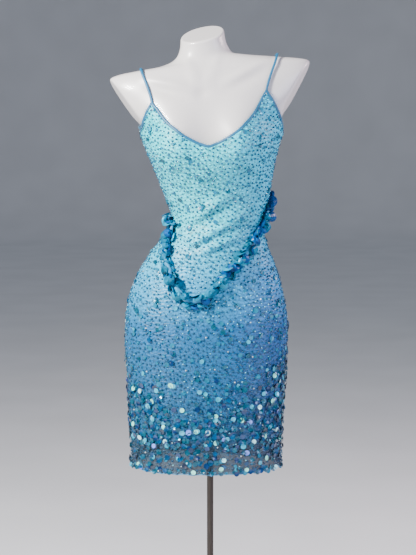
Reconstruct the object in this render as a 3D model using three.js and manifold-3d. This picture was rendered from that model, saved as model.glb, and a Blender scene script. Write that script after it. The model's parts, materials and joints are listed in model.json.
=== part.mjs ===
// A sequinned bodycon slip dress worn on a limbless dress form, which stands on a pole and a round base.
// Millimetres, +Z up. The dress faces -Y and the origin is the centre of the base's underside.
import * as THREE from "three";
import { mergeVertices } from "three/addons/utils/BufferGeometryUtils.js";
import Module from "manifold-3d";

const wasm = await Module();
wasm.setup();

// The figure under the cloth, from the hem up. Each section gives its left and right side points,
// how far it reaches to the front and the back of the pole's axis, and the ease of the beaded net
// over the figure on each of its four sides.
const SECTIONS = [
  section("hem", [-140, 500], [99, 500], [88, 80], { left: 22, right: 46, front: 12, back: 12 }),
  section("lining hem", [-142, 556], [103, 556], [88, 84], { left: 21, right: 43, front: 11, back: 10 }),
  section("thigh", [-151, 624], [119, 624], [89, 91], { left: 15, right: 29, front: 9, back: 8 }),
  section("low hip", [-163, 695], [140, 704], [93, 101], { left: 7, right: 13, front: 5, back: 4 }),
  section("hip", [-173, 768], [157, 789], [97, 108], { left: 1, right: 1, front: 2, back: 1 }),
  section("high hip", [-168, 842], [151, 848], [97, 109], { left: 0, right: 0, front: 1, back: 1 }),
  section("upper hip", [-149.5, 897], [140.5, 891], [95, 106], { left: 0, right: 0, front: 0, back: 1 }),
  section("belly", [-122, 943], [128, 929], [90, 93], { left: 0, right: 0, front: 0, back: 2 }),
  section("high belly", [-92.5, 983], [115.5, 960], [83, 79], { left: 0, right: 0, front: 0, back: 3 }),
  section("waist", [-75.5, 1025], [107, 996], [75, 68], { left: 0, right: 0, front: 1, back: 3 }),
  section("ribs", [-88, 1065], [113, 1040], [75, 70], { left: 0, right: 0, front: 2, back: 2 }),
  section("high ribs", [-103.5, 1105], [121, 1086], [79, 76], { left: 0, right: 0, front: 3, back: 1 }),
  section("under bust", [-118, 1142], [128, 1132], [82, 81], { left: 0, right: 0, front: 2, back: 0 }),
  section("bust", [-131, 1171], [137.5, 1171], [84, 85], { left: 0, right: 0, front: 0, back: 0 }),
  section("underarm", [-138, 1192], [145.5, 1196], [85, 88], { left: 0, right: 0, front: 0, back: 0 }),
  section("armpit", [-146, 1210], [152, 1230], [85, 90], { left: 0, right: 0, front: 0, back: 0 }),
  section("low cap", [-182, 1230], [184, 1256], [82, 91], { left: 0, right: 0, front: 0, back: 0 }),
  section("mid cap", [-209, 1254], [209, 1286], [77, 90], { left: 0, right: 0, front: 0, back: 0 }),
  section("high cap", [-222, 1281], [222, 1318], [70, 85], { left: 0, right: 0, front: 0, back: 0 }),
  section("shoulder tip", [-212, 1304], [211, 1340], [62, 77], { left: 0, right: 0, front: 0, back: 0 }),
  section("shoulder top", [-192, 1316], [193, 1350], [56, 70], { left: 0, right: 0, front: 0, back: 0 }),
  section("yoke", [-150, 1325], [142, 1354.5], [51, 63], { left: 0, right: 0, front: 0, back: 0 }),
  section("slope", [-110, 1332], [96, 1357.5], [48, 58], { left: 0, right: 0, front: 0, back: 0 }),
  section("nape", [-84, 1341], [66, 1360], [46, 54], { left: 0, right: 0, front: 0, back: 0 }),
  section("neck base", [-70, 1352], [47, 1363], [45, 51], { left: 0, right: 0, front: 0, back: 0 }),
  section("low neck", [-63, 1368], [37, 1375], [45, 49], { left: 0, right: 0, front: 0, back: 0 }),
  section("neck", [-61, 1390], [30, 1396], [46, 48], { left: 0, right: 0, front: 0, back: 0 }),
  section("neck end", [-60.5, 1450], [23, 1456], [46, 48], { left: 0, right: 0, front: 0, back: 0 }),
];
const SQUARENESS = 2.15;

// Above the underarm the cloth's columns keep to the chest, while the figure widens into its shoulders.
const UNDERARM = SECTIONS.findIndex((one) => one.name === "underarm");
const CHEST_HALF = 147;

// Soft swells of the figure, each a bell of its own height and spread.
const SWELLS = [
  { side: "front", x: -77, z: 1163, height: 40, spreadX: 38, spreadUp: 56, spreadDown: 37 },
  { side: "front", x: 68, z: 1171, height: 40, spreadX: 38, spreadUp: 56, spreadDown: 37 },
  { side: "back", x: -78, z: 806, height: 13, spreadX: 52, spreadUp: 60, spreadDown: 52 },
  { side: "back", x: 66, z: 812, height: 13, spreadX: 52, spreadUp: 60, spreadDown: 52 },
];

// The cloth bridges the hollow between the cups, standing off the figure there.
const BRIDGE = { x: -4, z: 1146, height: 17, spreadX: 30, spreadUp: 44, spreadDown: 46 };

// Drag lines of the bodice: soft ridges between two points of the front, seen from the front.
const DRAG_LINES = [
  { fromX: 58, fromZ: 1040, toX: -28, toZ: 1012, height: 2.2, spread: 10 },
  { fromX: 66, fromZ: 1004, toX: -14, toZ: 973, height: 2.6, spread: 10 },
  { fromX: 60, fromZ: 966, toX: -10, toZ: 943, height: 2.0, spread: 9 },
  { fromX: -66, fromZ: 1046, toX: -10, toZ: 1066, height: 1.6, spread: 10 },
];

// The net flutters a little below the lining's hem.
const HEM_FLUTTER = { height: 2.2, waves: 15, sharpness: 2 };

// Cloth edges seen from the front or the back, as points across the body.
const FRONT_NECK = [
  [-117, 1256.5], [-103.5, 1237], [-89.5, 1219.5], [-71.3, 1202.3], [-48.5, 1185], [-25, 1173.6], [-2, 1169.5],
  [22.5, 1176.6], [46, 1191.2], [68, 1210.6], [86, 1232], [100, 1254.6], [113, 1282],
].map(([x, z]) => ({ x, z }));
const LEFT_ARMHOLE = [
  [-141, 1192.5], [-140, 1201], [-136, 1212.5], [-130, 1227.5], [-123.3, 1242.6], [-117, 1256.5],
].map(([x, z]) => ({ x, z }));
const RIGHT_ARMHOLE = [
  [113, 1282], [118.5, 1270], [127, 1256], [135.3, 1239], [140.5, 1225], [143.8, 1213], [148, 1197],
].map(([x, z]) => ({ x, z }));
const BACK_NECK = [
  [104, 1229], [82, 1207], [50, 1192], [0, 1183], [-50, 1184], [-84, 1195], [-107, 1211],
].map(([x, z]) => ({ x, z }));
const BACK_RIGHT_ARMHOLE = [[148, 1197], [138, 1199], [121, 1208], [104, 1229]].map(([x, z]) => ({ x, z }));
const BACK_LEFT_ARMHOLE = [[-107, 1211], [-121, 1196], [-134, 1190], [-141, 1192.5]]
  .map(([x, z]) => ({ x, z }));
const FRONT_SEAM = [
  [-75.5, 1022], [-72.5, 1005], [-79, 983], [-84.5, 956], [-83, 925], [-77, 903], [-66, 881], [-52, 865],
  [-37, 858.5], [-19, 862], [5, 878], [31, 909], [62, 944], [86, 981], [101, 1010], [112, 1042], [117, 1062],
].map(([x, z]) => ({ x, z }));
const BACK_SEAM = [[117, 1062], [96, 1055], [55, 1036], [5, 1020], [-45, 1012], [-70, 1016], [-75.5, 1022]]
  .map(([x, z]) => ({ x, z }));

// Layers, as distances out from the figure.
const LINING = { inner: 0.9, outer: 2.1, ease: 0 };
const NET = { inner: 3.0, outer: 4.2, ease: 1 };
const SEAM_GAP = 0.3;

// Trims.
const BINDING = { width: 6.5, thickness: 3.4, lift: 3.4, clear: 1.3, endCut: 9.5, sides: 6 };
const STRAP = { width: 5.3, thickness: 3.0, lift: 2.1, footLift: 1.2, bend: 1.25, steps: 30, sides: 6 };
const SWAG = { width: 19, thickness: 9, step: 9.5, lift: 2.9, endCut: 6.5, ruffle: 0.2, ruffleLength: 23 };
const HEM_ROLL = { diameter: 2.6, sides: 6 };
const RIGHT_STRAP_LOOP = 4;

// Mesh density. Each ring of columns is shared by the figure, the lining and the net.
const COLUMNS = { frontArmhole: 7, frontNeck: 13, backArmhole: 5, backNeck: 8 };
const ROWS = { belowLining: 2, skirt: 9, bodice: 8, chest: 6 };
const WAIST_CROWDING = 1.3;
const UPPER_ROWS = [0, 0.35, 0.7, 1, 1.35, 1.75, 2.2, 3, 4, 5, 6, 7, 9];

// The form's own cuts and the stand.
const FORM_FLOOR = { z: 580, edgeZ: 590, edgeInset: 9 };
const ARM_CUTS = [
  { side: -1, outer: [-208, 1306], inner: [-144.5, 1210], flank: -141.5, armpit: 1192, yaw: 10 },
  { side: 1, outer: [206, 1342], inner: [150, 1233], flank: 150, armpit: 1196, yaw: 10 },
];
const NECK_CUT = { x: -18, z: 1401, riseRight: 12, riseBack: 20 };
const POLE = { radius: 7, bottom: 6.3, top: 566 };
const SOCKET = { radius: 27, bottom: 544, top: 579.7, boreTop: 566.3, boreRadius: 7.3 };
const COLLAR = { radius: 19, bottom: 6.3, top: 52, boreRadius: 7.3, chamfer: 3 };
const BASE = { radius: 180, thickness: 6, chamfer: 1.5 };
const ROUND_SEGMENTS = 28;

// One row of the sections table.
function section(name, [leftX, leftZ], [rightX, rightZ], [front, back], ease) {
  return {
    name, leftX, leftZ, rightX, rightZ, front, back,
    easeLeft: ease.left, easeRight: ease.right, easeFront: ease.front, easeBack: ease.back,
  };
}

// A column of the sections table at a fractional row, on a smooth curve through the rows.
function column(key, row) {
  const last = SECTIONS.length - 1;
  const base = THREE.MathUtils.clamp(Math.floor(row), 0, last - 1);
  const u = row - base;
  const at = (k) => SECTIONS[THREE.MathUtils.clamp(k, 0, last)][key];
  const [before, start, end, after] = [base - 1, base, base + 1, base + 2].map(at);
  const curve = 2 * before - 5 * start + 4 * end - after;
  const turn = 3 * start - before - 3 * end + after;
  return 0.5 * (2 * start + (end - before) * u + curve * u * u + turn * u ** 3);
}

// The ring of the figure, or of the net when ease is 1, at a fractional row.
function ring(row, ease) {
  const left = column("leftX", row) - ease * column("easeLeft", row);
  const right = column("rightX", row) + ease * column("easeRight", row);
  const leftZ = column("leftZ", row);
  const rightZ = column("rightZ", row);
  return {
    midX: (left + right) / 2,
    half: (right - left) / 2,
    midZ: (leftZ + rightZ) / 2,
    tilt: (rightZ - leftZ) / (right - left),
    front: column("front", row) + ease * column("easeFront", row),
    back: column("back", row) + ease * column("easeBack", row),
  };
}

const signedPower = (value, power) => Math.sign(value) * Math.abs(value) ** power;

// How high a bell stands at a point of the front or the back.
function bell(shape, x, z) {
  const across = (x - shape.x) / shape.spreadX;
  const up = (z - shape.z) / (z > shape.z ? shape.spreadUp : shape.spreadDown);
  return shape.height * Math.exp(-(across * across + up * up) / 2);
}

// A point of the figure. The angle runs from the left side seam (0) over the front centre (90) and the
// right side seam (180) round the back.
function figurePoint(angle, row, ease) {
  const { midX, half, midZ, tilt, front, back } = ring(row, ease);
  const radians = THREE.MathUtils.degToRad(angle);
  const x = midX - half * signedPower(Math.cos(radians), 2 / SQUARENESS);
  const reach = signedPower(Math.sin(radians), 2 / SQUARENESS);
  const z = midZ + tilt * (x - midX);
  const side = reach > 0 ? "front" : "back";
  const fade = Math.min(1, 1.7 * Math.abs(reach));
  const swell = SWELLS.filter((one) => one.side === side).reduce((sum, one) => sum + bell(one, x, z), 0);
  const y = -reach * (reach > 0 ? front : back) - Math.sign(reach) * fade * swell;
  return new THREE.Vector3(x, y, z);
}

// The half width that the cloth's columns spread over at a row.
function girthHalf(row) {
  const { half } = ring(row, 0);
  return row <= UNDERARM ? half : Math.min(half, CHEST_HALF);
}

// The figure's angle of a cloth column at a row.
function figureAngle(columnAngle, row) {
  const { half } = ring(row, 0);
  const cosine = signedPower(Math.cos(THREE.MathUtils.degToRad(columnAngle)), 2 / SQUARENESS);
  const turn = ringAngle((cosine * girthHalf(row)) / half);
  return columnAngle > 180 ? 360 - turn : turn;
}

// The angle on the front where a ring reaches a share of its half width, from 1 at the left side.
function ringAngle(share) {
  const cosine = signedPower(THREE.MathUtils.clamp(share, -1, 1), SQUARENESS / 2);
  return THREE.MathUtils.radToDeg(Math.acos(cosine));
}

// The outward normal of that surface.
function figureNormal(angle, row, ease) {
  const turn = 1.5;
  const climb = 0.05;
  const top = SECTIONS.length - 1;
  const low = Math.max(row - climb, 0);
  const high = Math.min(row + climb, top);
  const across = figurePoint(angle + turn, row, ease).sub(figurePoint(angle - turn, row, ease));
  const along = figurePoint(angle, high, ease).sub(figurePoint(angle, low, ease));
  return across.cross(along).normalize();
}

// How far the cloth stands off the figure, beyond its layer, at a point seen from the front.
function clothStandOff(angle, row) {
  const { x, y, z } = figurePoint(angle, row, 1);
  if (y >= 0) {
    return 0;
  }
  const fade = Math.min(1, -y / 30);
  const pulls = DRAG_LINES.reduce((sum, line) => sum + dragLine(line, x, z), 0);
  return fade * (bell(BRIDGE, x, z) + pulls);
}

// The height of one drag line at a point of the front, full along its middle and fading to its ends.
function dragLine(line, x, z) {
  const run = new THREE.Vector2(line.toX - line.fromX, line.toZ - line.fromZ);
  const from = new THREE.Vector2(x - line.fromX, z - line.fromZ);
  const along = THREE.MathUtils.clamp(from.dot(run) / run.lengthSq(), 0, 1);
  const away = from.sub(run.clone().multiplyScalar(along)).length();
  return line.height * Math.sin(Math.PI * (0.12 + 0.76 * along)) * Math.exp(-((away / line.spread) ** 2));
}

// The net's flutter near the hem, deeper towards the right side.
function hemFlutter(angle, row) {
  const below = Math.max(0, 1 - row / HEM_FLUTTER.sharpness);
  const radians = THREE.MathUtils.degToRad(angle);
  const uneven = 0.6 + 0.4 * Math.sin(radians * 2.3 + 1.1) - 0.3 * Math.cos(radians);
  const wave = Math.sin(radians * HEM_FLUTTER.waves + 2 * Math.sin(radians * 3));
  return HEM_FLUTTER.height * below * below * uneven * wave;
}

// A point of the cloth at a distance out from the figure, and its outward normal.
function clothFrame(columnAngle, row, distance, ease) {
  const angle = figureAngle(columnAngle, row);
  const normal = figureNormal(angle, row, ease);
  const flutter = ease === 0 ? 0 : hemFlutter(angle, row);
  const reach = distance + clothStandOff(angle, row) + flutter;
  const point = figurePoint(angle, row, ease).addScaledVector(normal, reach);
  return { point, normal };
}

// The cloth column's angle and the row of a point seen from the front or the back.
function locate({ x, z }, back) {
  let low = 0;
  let high = SECTIONS.length - 1;
  while (high - low > 1e-6) {
    const middle = (low + high) / 2;
    const { midX, midZ, tilt } = ring(middle, 0);
    if (midZ + tilt * (x - midX) < z) {
      low = middle;
    } else {
      high = middle;
    }
  }
  const row = (low + high) / 2;
  const angle = ringAngle((ring(row, 0).midX - x) / girthHalf(row));
  return { angle: back ? 360 - angle : angle, row };
}

// A cloth edge as angles and rows, with its ends put on the side seams where they lie there.
function edgeLine(points, back, startAngle, endAngle) {
  const line = points.map((point) => locate(point, back));
  if (startAngle !== undefined) {
    line[0].angle = startAngle;
  }
  if (endAngle !== undefined) {
    line[line.length - 1].angle = endAngle;
  }
  return line;
}

// The row of an edge line at an angle, on a curve that keeps between its points.
function rowOn(line, angle) {
  let k = 0;
  while (k < line.length - 2 && line[k + 1].angle < angle) {
    k += 1;
  }
  const slope = (i) => (line[i + 1].row - line[i].row) / (line[i + 1].angle - line[i].angle);
  const tangent = (i) => {
    if (i === 0) {
      return slope(0);
    }
    if (i === line.length - 1) {
      return slope(i - 1);
    }
    const [before, after] = [slope(i - 1), slope(i)];
    return before * after <= 0 ? 0 : (2 * before * after) / (before + after);
  };
  const width = line[k + 1].angle - line[k].angle;
  const u = THREE.MathUtils.clamp((angle - line[k].angle) / width, 0, 1);
  const start = line[k].row * (1 + 2 * u) * (1 - u) ** 2 + line[k + 1].row * u * u * (3 - 2 * u);
  return start + width * (tangent(k) * u * (1 - u) ** 2 - tangent(k + 1) * u * u * (1 - u));
}

const EDGES = {
  leftArmhole: edgeLine(LEFT_ARMHOLE, false, 0),
  frontNeck: edgeLine(FRONT_NECK, false),
  rightArmhole: edgeLine(RIGHT_ARMHOLE, false, undefined, 180),
  backRightArmhole: edgeLine(BACK_RIGHT_ARMHOLE, true, 180),
  backNeck: edgeLine(BACK_NECK, true),
  backLeftArmhole: edgeLine(BACK_LEFT_ARMHOLE, true, undefined, 360),
  frontSeam: edgeLine(FRONT_SEAM, false, 0, 180),
  backSeam: edgeLine(BACK_SEAM, true, 180, 360),
};

// The angles of the mesh columns between the ends of some edge lines, so that a column meets each point.
function columnAngles(spans) {
  const angles = spans.flatMap(([line, count]) => {
    const [start, end] = [line[0].angle, line[line.length - 1].angle];
    return Array.from({ length: count }, (_, k) => start + ((end - start) * k) / count);
  });
  const lastLine = spans[spans.length - 1][0];
  return [...angles, lastLine[lastLine.length - 1].angle];
}

// The figure's angles of the same columns above the cloth, spread evenly between the strap points.
function upperAngles(spans, ends) {
  const angles = spans.flatMap(([, count], k) => {
    return Array.from({ length: count }, (_, n) => ends[k] + ((ends[k + 1] - ends[k]) * n) / count);
  });
  return [...angles, ends[ends.length - 1]];
}

const FRONT_SPANS = [
  [EDGES.leftArmhole, COLUMNS.frontArmhole],
  [EDGES.frontNeck, COLUMNS.frontNeck],
  [EDGES.rightArmhole, COLUMNS.frontArmhole],
];
const BACK_SPANS = [
  [EDGES.backRightArmhole, COLUMNS.backArmhole],
  [EDGES.backNeck, COLUMNS.backNeck],
  [EDGES.backLeftArmhole, COLUMNS.backArmhole],
];
const FRONT = {
  angles: columnAngles(FRONT_SPANS),
  upperAngles: upperAngles(FRONT_SPANS, [0, 57, 121, 180]),
  top: FRONT_SPANS.map(([line]) => line),
  seam: EDGES.frontSeam,
};
const BACK = {
  angles: columnAngles(BACK_SPANS),
  upperAngles: upperAngles(BACK_SPANS, [180, 225, 315, 360]),
  top: BACK_SPANS.map(([line]) => line),
  seam: EDGES.backSeam,
};

// The row of a panel's top edge at an angle.
function topRow(panel, angle) {
  const line = panel.top.find((one) => angle <= one[one.length - 1].angle + 1e-9);
  return rowOn(line, angle);
}

// The rows of one column: from the hem to the lining's hem, to the waist seam and to the top edge.
function columnRows(panel, angle) {
  const seam = rowOn(panel.seam, angle);
  const top = topRow(panel, angle);
  const spread = (start, end, count, crowding = 1) => Array.from({ length: count }, (_, k) => {
    return start + (end - start) * (1 - (1 - k / count) ** crowding);
  });
  return [
    ...spread(0, 1, ROWS.belowLining),
    ...spread(1, seam, ROWS.skirt, WAIST_CROWDING),
    ...spread(seam, top, ROWS.bodice),
    top,
  ];
}

const SEAM_INDEX = ROWS.belowLining + ROWS.skirt;
const TOP_INDEX = SEAM_INDEX + ROWS.bodice;

// A closed geometry from points and faces, turned right side out.
function closedGeometry(points, faces) {
  const geometry = new THREE.BufferGeometry().setFromPoints(points);
  const volume = faces.reduce((sum, [a, b, c]) => {
    const normal = new THREE.Vector3().crossVectors(points[b], points[c]);
    return sum + points[a].dot(normal);
  }, 0);
  geometry.setIndex(faces.flatMap(([a, b, c]) => (volume > 0 ? [a, b, c] : [a, c, b])));
  return geometry;
}

// The two triangles of a four-cornered face.
const quad = (a, b, c, d) => [[a, b, c], [a, c, d]];

// A cloth wall between an inner and an outer distance, over some rows of a panel. The trims take a little
// off its side seams and its waist seam, so that neighbouring panels lie a seam's gap apart.
function clothWall(panel, layer, firstRow, lastRow, seamTrim) {
  const side = panel === FRONT ? -1 : 1;
  const lastColumn = panel.angles.length - 1;
  const grid = (distance) => panel.angles.map((angle, i) => {
    const rows = columnRows(panel, angle).slice(firstRow, lastRow + 1);
    return rows.map((row, j) => {
      const { point } = clothFrame(angle, row, distance, layer.ease);
      if (i === 0 || i === lastColumn) {
        point.y += (side * SEAM_GAP) / 2;
      }
      if (seamTrim.bottom && j === 0) {
        point.z += seamTrim.bottom;
      }
      if (seamTrim.top && j === rows.length - 1) {
        point.z -= seamTrim.top;
      }
      return point;
    });
  });
  return wallGeometry(grid(layer.outer), grid(layer.inner));
}

// A closed wall between two grids of points of the same size.
function wallGeometry(outer, inner) {
  const columns = outer.length;
  const rows = outer[0].length;
  const points = [...outer.flat(), ...inner.flat()];
  const out = (i, j) => i * rows + j;
  const into = (i, j) => columns * rows + i * rows + j;
  const faces = [];
  for (let i = 0; i < columns - 1; i += 1) {
    for (let j = 0; j < rows - 1; j += 1) {
      faces.push(...quad(out(i, j), out(i + 1, j), out(i + 1, j + 1), out(i, j + 1)));
      faces.push(...quad(into(i, j), into(i, j + 1), into(i + 1, j + 1), into(i + 1, j)));
    }
    faces.push(...quad(into(i, 0), into(i + 1, 0), out(i + 1, 0), out(i, 0)));
    faces.push(...quad(out(i, rows - 1), out(i + 1, rows - 1), into(i + 1, rows - 1), into(i, rows - 1)));
  }
  for (let j = 0; j < rows - 1; j += 1) {
    faces.push(...quad(into(0, j), out(0, j), out(0, j + 1), into(0, j + 1)));
    faces.push(
      ...quad(out(columns - 1, j), into(columns - 1, j), into(columns - 1, j + 1), out(columns - 1, j + 1)),
    );
  }
  return closedGeometry(points, faces);
}

// A closed strip along a path. Each station has a point and a normal, and a section of points given
// across the strip and out along the normal.
function sweep(stations, sectionAt) {
  const last = stations.length - 1;
  const sides = sectionAt(0).length;
  const points = stations.flatMap(({ point, normal }, k) => {
    const run = stations[Math.min(k + 1, last)].point.clone().sub(stations[Math.max(k - 1, 0)].point);
    const across = run.cross(normal).normalize();
    return sectionAt(k).map(([u, v]) => point.clone().addScaledVector(across, u).addScaledVector(normal, v));
  });
  const at = (k, s) => k * sides + (s % sides);
  const faces = [];
  for (let k = 0; k < last; k += 1) {
    for (let s = 0; s < sides; s += 1) {
      faces.push(...quad(at(k, s), at(k, s + 1), at(k + 1, s + 1), at(k + 1, s)));
    }
  }
  for (let s = 1; s < sides - 1; s += 1) {
    faces.push([at(0, 0), at(0, s + 1), at(0, s)]);
    faces.push([at(last, 0), at(last, s), at(last, s + 1)]);
  }
  return closedGeometry(points, faces);
}

// An oval section with its middle on the path.
function oval(width, thickness, sides) {
  return Array.from({ length: sides }, (_, s) => {
    const turn = (2 * Math.PI * (s + 0.5)) / sides;
    return [(width / 2) * Math.cos(turn), (thickness / 2) * Math.sin(turn)];
  });
}

// Stations spread evenly along a path of stations, between two distances from its ends.
function evenStations(stations, step, startCut, endCut) {
  const lengths = [0];
  for (let k = 1; k < stations.length; k += 1) {
    lengths.push(lengths[k - 1] + stations[k].point.distanceTo(stations[k - 1].point));
  }
  const run = lengths[lengths.length - 1] - startCut - endCut;
  const count = Math.max(2, Math.round(run / step));
  return Array.from({ length: count + 1 }, (_, n) => {
    const target = startCut + (run * n) / count;
    let k = 0;
    while (k < lengths.length - 2 && lengths[k + 1] < target) {
      k += 1;
    }
    const u = (target - lengths[k]) / (lengths[k + 1] - lengths[k]);
    const point = stations[k].point.clone().lerp(stations[k + 1].point, u);
    const normal = stations[k].normal.clone().lerp(stations[k + 1].normal, u).normalize();
    return { point, normal };
  });
}

// The stations of an edge line at a distance out from the figure, closely spaced.
function edgeStations(line, distance, ease, count = 60) {
  const [start, end] = [line[0].angle, line[line.length - 1].angle];
  return Array.from({ length: count + 1 }, (_, k) => {
    const angle = start + ((end - start) * k) / count;
    return clothFrame(angle, rowOn(line, angle), distance, ease);
  });
}

// Stations moved across their strip, in the surface, by some distance.
function movedAcross(stations, distance) {
  const last = stations.length - 1;
  return stations.map(({ point, normal }, k) => {
    const run = stations[Math.min(k + 1, last)].point.clone().sub(stations[Math.max(k - 1, 0)].point);
    const across = run.cross(normal).normalize();
    return { point: point.clone().addScaledVector(across, distance), normal };
  });
}

// A binding folded over a raw edge, just clear of the cloth that it holds.
function binding(lines, startCut, endCut) {
  const stations = lines.flatMap((line) => edgeStations(line, BINDING.lift, 1));
  const beyond = -(BINDING.width / 2 + BINDING.clear);
  const even = evenStations(movedAcross(stations, beyond), BINDING.width * 1.7, startCut, endCut);
  const shape = oval(BINDING.width, BINDING.thickness, BINDING.sides);
  return sweep(even, () => shape);
}

// A strap from the front point over the shoulder to the back point, lying on the form.
function strap(front, back, crestX, loop) {
  const start = locate(front, false);
  const end = locate(back, true);
  const crest = crestRow(crestX);
  const top = heightAt(crest, crestX);
  const half = STRAP.steps;
  const stations = [];
  for (let k = 0; k <= 2 * half; k += 1) {
    const rising = k <= half;
    const u = rising ? k / half : (2 * half - k) / half;
    const ease = Math.sin((u * Math.PI) / 2);
    const foot = rising ? start : end;
    const footX = rising ? front.x : back.x;
    const row = foot.row + (crest - foot.row) * ease;
    const level = heightAt(row, footX + (crestX - footX) * ease);
    const footLevel = heightAt(foot.row, footX);
    const climbed = Math.min(1, Math.max(0, (level - footLevel) / (top - footLevel)));
    const x = footX + (crestX - footX) * climbed ** STRAP.bend;
    const { midX, half: halfWidth } = ring(row, 0);
    const turn = ringAngle((midX - x) / halfWidth);
    const angle = rising ? turn : 360 - turn;
    const normal = figureNormal(angle, row, 0);
    const lift = STRAP.lift + STRAP.footLift * (1 - ease) + loop * Math.max(0, 4 * ease - 3);
    stations.push({ point: figurePoint(angle, row, 0).addScaledVector(normal, lift), normal });
  }
  const shape = oval(STRAP.width, STRAP.thickness, STRAP.sides);
  return sweep(evenStations(stations, STRAP.width * 2.2, 0, 0), () => shape);
}

// The height of a slanting ring at a distance across.
function heightAt(row, x) {
  const { midX, midZ, tilt } = ring(row, 0);
  return midZ + tilt * (x - midX);
}

// The row where the shoulder's side line passes a distance across, on its way up to the neck.
function crestRow(x) {
  const key = x < 0 ? "leftX" : "rightX";
  let low = SECTIONS.findIndex((one) => one.name === "shoulder tip");
  let high = SECTIONS.findIndex((one) => one.name === "neck base");
  while (high - low > 1e-6) {
    const middle = (low + high) / 2;
    if (Math.abs(column(key, middle)) > Math.abs(x)) {
      low = middle;
    } else {
      high = middle;
    }
  }
  return low;
}

// The ruffled trim over the waist seam: a flat-backed roll whose width and height swell and shrink.
function swag(line) {
  const stations = edgeStations(line, NET.outer + SWAG.lift, 1, 160);
  const even = evenStations(stations, SWAG.step, SWAG.endCut, SWAG.endCut);
  return sweep(even, (k) => {
    const phase = (2 * Math.PI * k * SWAG.step) / SWAG.ruffleLength;
    const half = (SWAG.width / 2) * (1 + SWAG.ruffle * Math.sin(phase));
    const high = SWAG.thickness * (1 + SWAG.ruffle * Math.cos(phase * 0.8 + 1));
    return [[-half, 1.5], [-half * 0.75, high * 0.75], [0, high], [half * 0.75, high * 0.75], [half, 1.5],
      [half * 0.55, 0.6], [-half * 0.55, 0.6]];
  });
}

// The rolled edge under the net's hem.
function hemRoll(panel) {
  const middle = (NET.inner + NET.outer) / 2;
  const side = panel === FRONT ? -1 : 1;
  const last = panel.angles.length - 1;
  const stations = panel.angles.map((angle, k) => {
    const { point, normal } = clothFrame(angle, 0, middle, 1);
    point.z -= HEM_ROLL.diameter / 2 + SEAM_GAP;
    if (k === 0 || k === last) {
      point.y += (side * SEAM_GAP) / 2;
    }
    return { point, normal: normal.setZ(0).normalize() };
  });
  const shape = oval(HEM_ROLL.diameter, HEM_ROLL.diameter, HEM_ROLL.sides);
  return sweep(stations, () => shape);
}

// The form before it is cut: rings from its floor to above the neck, closed at both ends.
function formSkin() {
  const capRow = SECTIONS.findIndex((one) => one.name === "high cap");
  const columns = [FRONT, BACK].flatMap((panel) => panel.angles.slice(0, -1).map((angle, i) => {
    const top = topRow(panel, angle);
    const topAngle = figureAngle(angle, top);
    const upperAngle = panel.upperAngles[i];
    const shared = columnRows(panel, angle).slice(ROWS.belowLining + 1)
      .map((row) => figurePoint(figureAngle(angle, row), row, 0));
    const chest = Array.from({ length: ROWS.chest - 1 }, (_, k) => {
      const u = (k + 1) / ROWS.chest;
      return figurePoint(topAngle + (upperAngle - topAngle) * u, top + (capRow - top) * u, 0);
    });
    const upper = UPPER_ROWS.map((rise) => Math.min(capRow + rise, SECTIONS.length - 1))
      .map((row) => figurePoint(upperAngle, row, 0));
    const skin = [...shared, ...chest, ...upper];
    const bottomRow = (z) => locate({ x: 0, z }, false).row;
    const edge = figurePoint(angle, bottomRow(FORM_FLOOR.edgeZ), 0);
    const inset = figureNormal(angle, bottomRow(FORM_FLOOR.z), 0).setZ(0).normalize();
    const floor = figurePoint(angle, bottomRow(FORM_FLOOR.z), 0).addScaledVector(inset, -FORM_FLOOR.edgeInset);
    floor.z = FORM_FLOOR.z;
    edge.z = FORM_FLOOR.edgeZ;
    return [floor, edge, ...skin];
  }));
  return ringGeometry(columns);
}

// A closed geometry from a ring of columns of points, with a fan over each end.
function ringGeometry(columns) {
  const rows = columns[0].length;
  const points = columns.flat();
  const at = (i, j) => (i % columns.length) * rows + j;
  const faces = [];
  const centre = (j) => columns
    .reduce((sum, one) => sum.add(one[j]), new THREE.Vector3())
    .divideScalar(columns.length);
  points.push(centre(0), centre(rows - 1));
  for (let i = 0; i < columns.length; i += 1) {
    for (let j = 0; j < rows - 1; j += 1) {
      faces.push(...quad(at(i, j), at(i + 1, j), at(i + 1, j + 1), at(i, j + 1)));
    }
    faces.push([at(i + 1, 0), at(i, 0), points.length - 2]);
    faces.push([at(i, rows - 1), at(i + 1, rows - 1), points.length - 1]);
  }
  return closedGeometry(points, faces);
}

// A solid of the boolean library from a closed geometry, and back again.
function toSolid(geometry) {
  const bare = geometry.clone();
  bare.deleteAttribute("normal");
  bare.deleteAttribute("uv");
  const merged = mergeVertices(bare, 1e-4);
  const vertProperties = new Float32Array(merged.attributes.position.array);
  const triVerts = new Uint32Array(merged.index.array);
  return new wasm.Manifold(new wasm.Mesh({ numProp: 3, vertProperties, triVerts }));
}

function toGeometry(solid) {
  const mesh = solid.getMesh();
  const geometry = new THREE.BufferGeometry();
  geometry.setAttribute("position", new THREE.BufferAttribute(new Float32Array(mesh.vertProperties), 3));
  geometry.setIndex(Array.from(mesh.triVerts));
  return geometry;
}

// What a shoulder's cut takes away: all beyond its slanted plane, but not the flank or what is lower.
function armCutter({ side, outer, inner, flank, armpit, yaw }) {
  const size = 400;
  const slope = Math.atan2(outer[0] - inner[0], outer[1] - inner[1]);
  const beyond = new THREE.BoxGeometry(size, size, size);
  beyond.translate((side * size) / 2, 0, 0);
  beyond.rotateY(slope);
  beyond.rotateZ(THREE.MathUtils.degToRad(-side * yaw));
  beyond.translate((outer[0] + inner[0]) / 2, 0, (outer[1] + inner[1]) / 2);
  const outside = new THREE.BoxGeometry(size, size, size);
  outside.translate(flank + (side * size) / 2, 0, armpit + size / 2);
  return toSolid(beyond).intersect(toSolid(outside));
}

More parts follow.
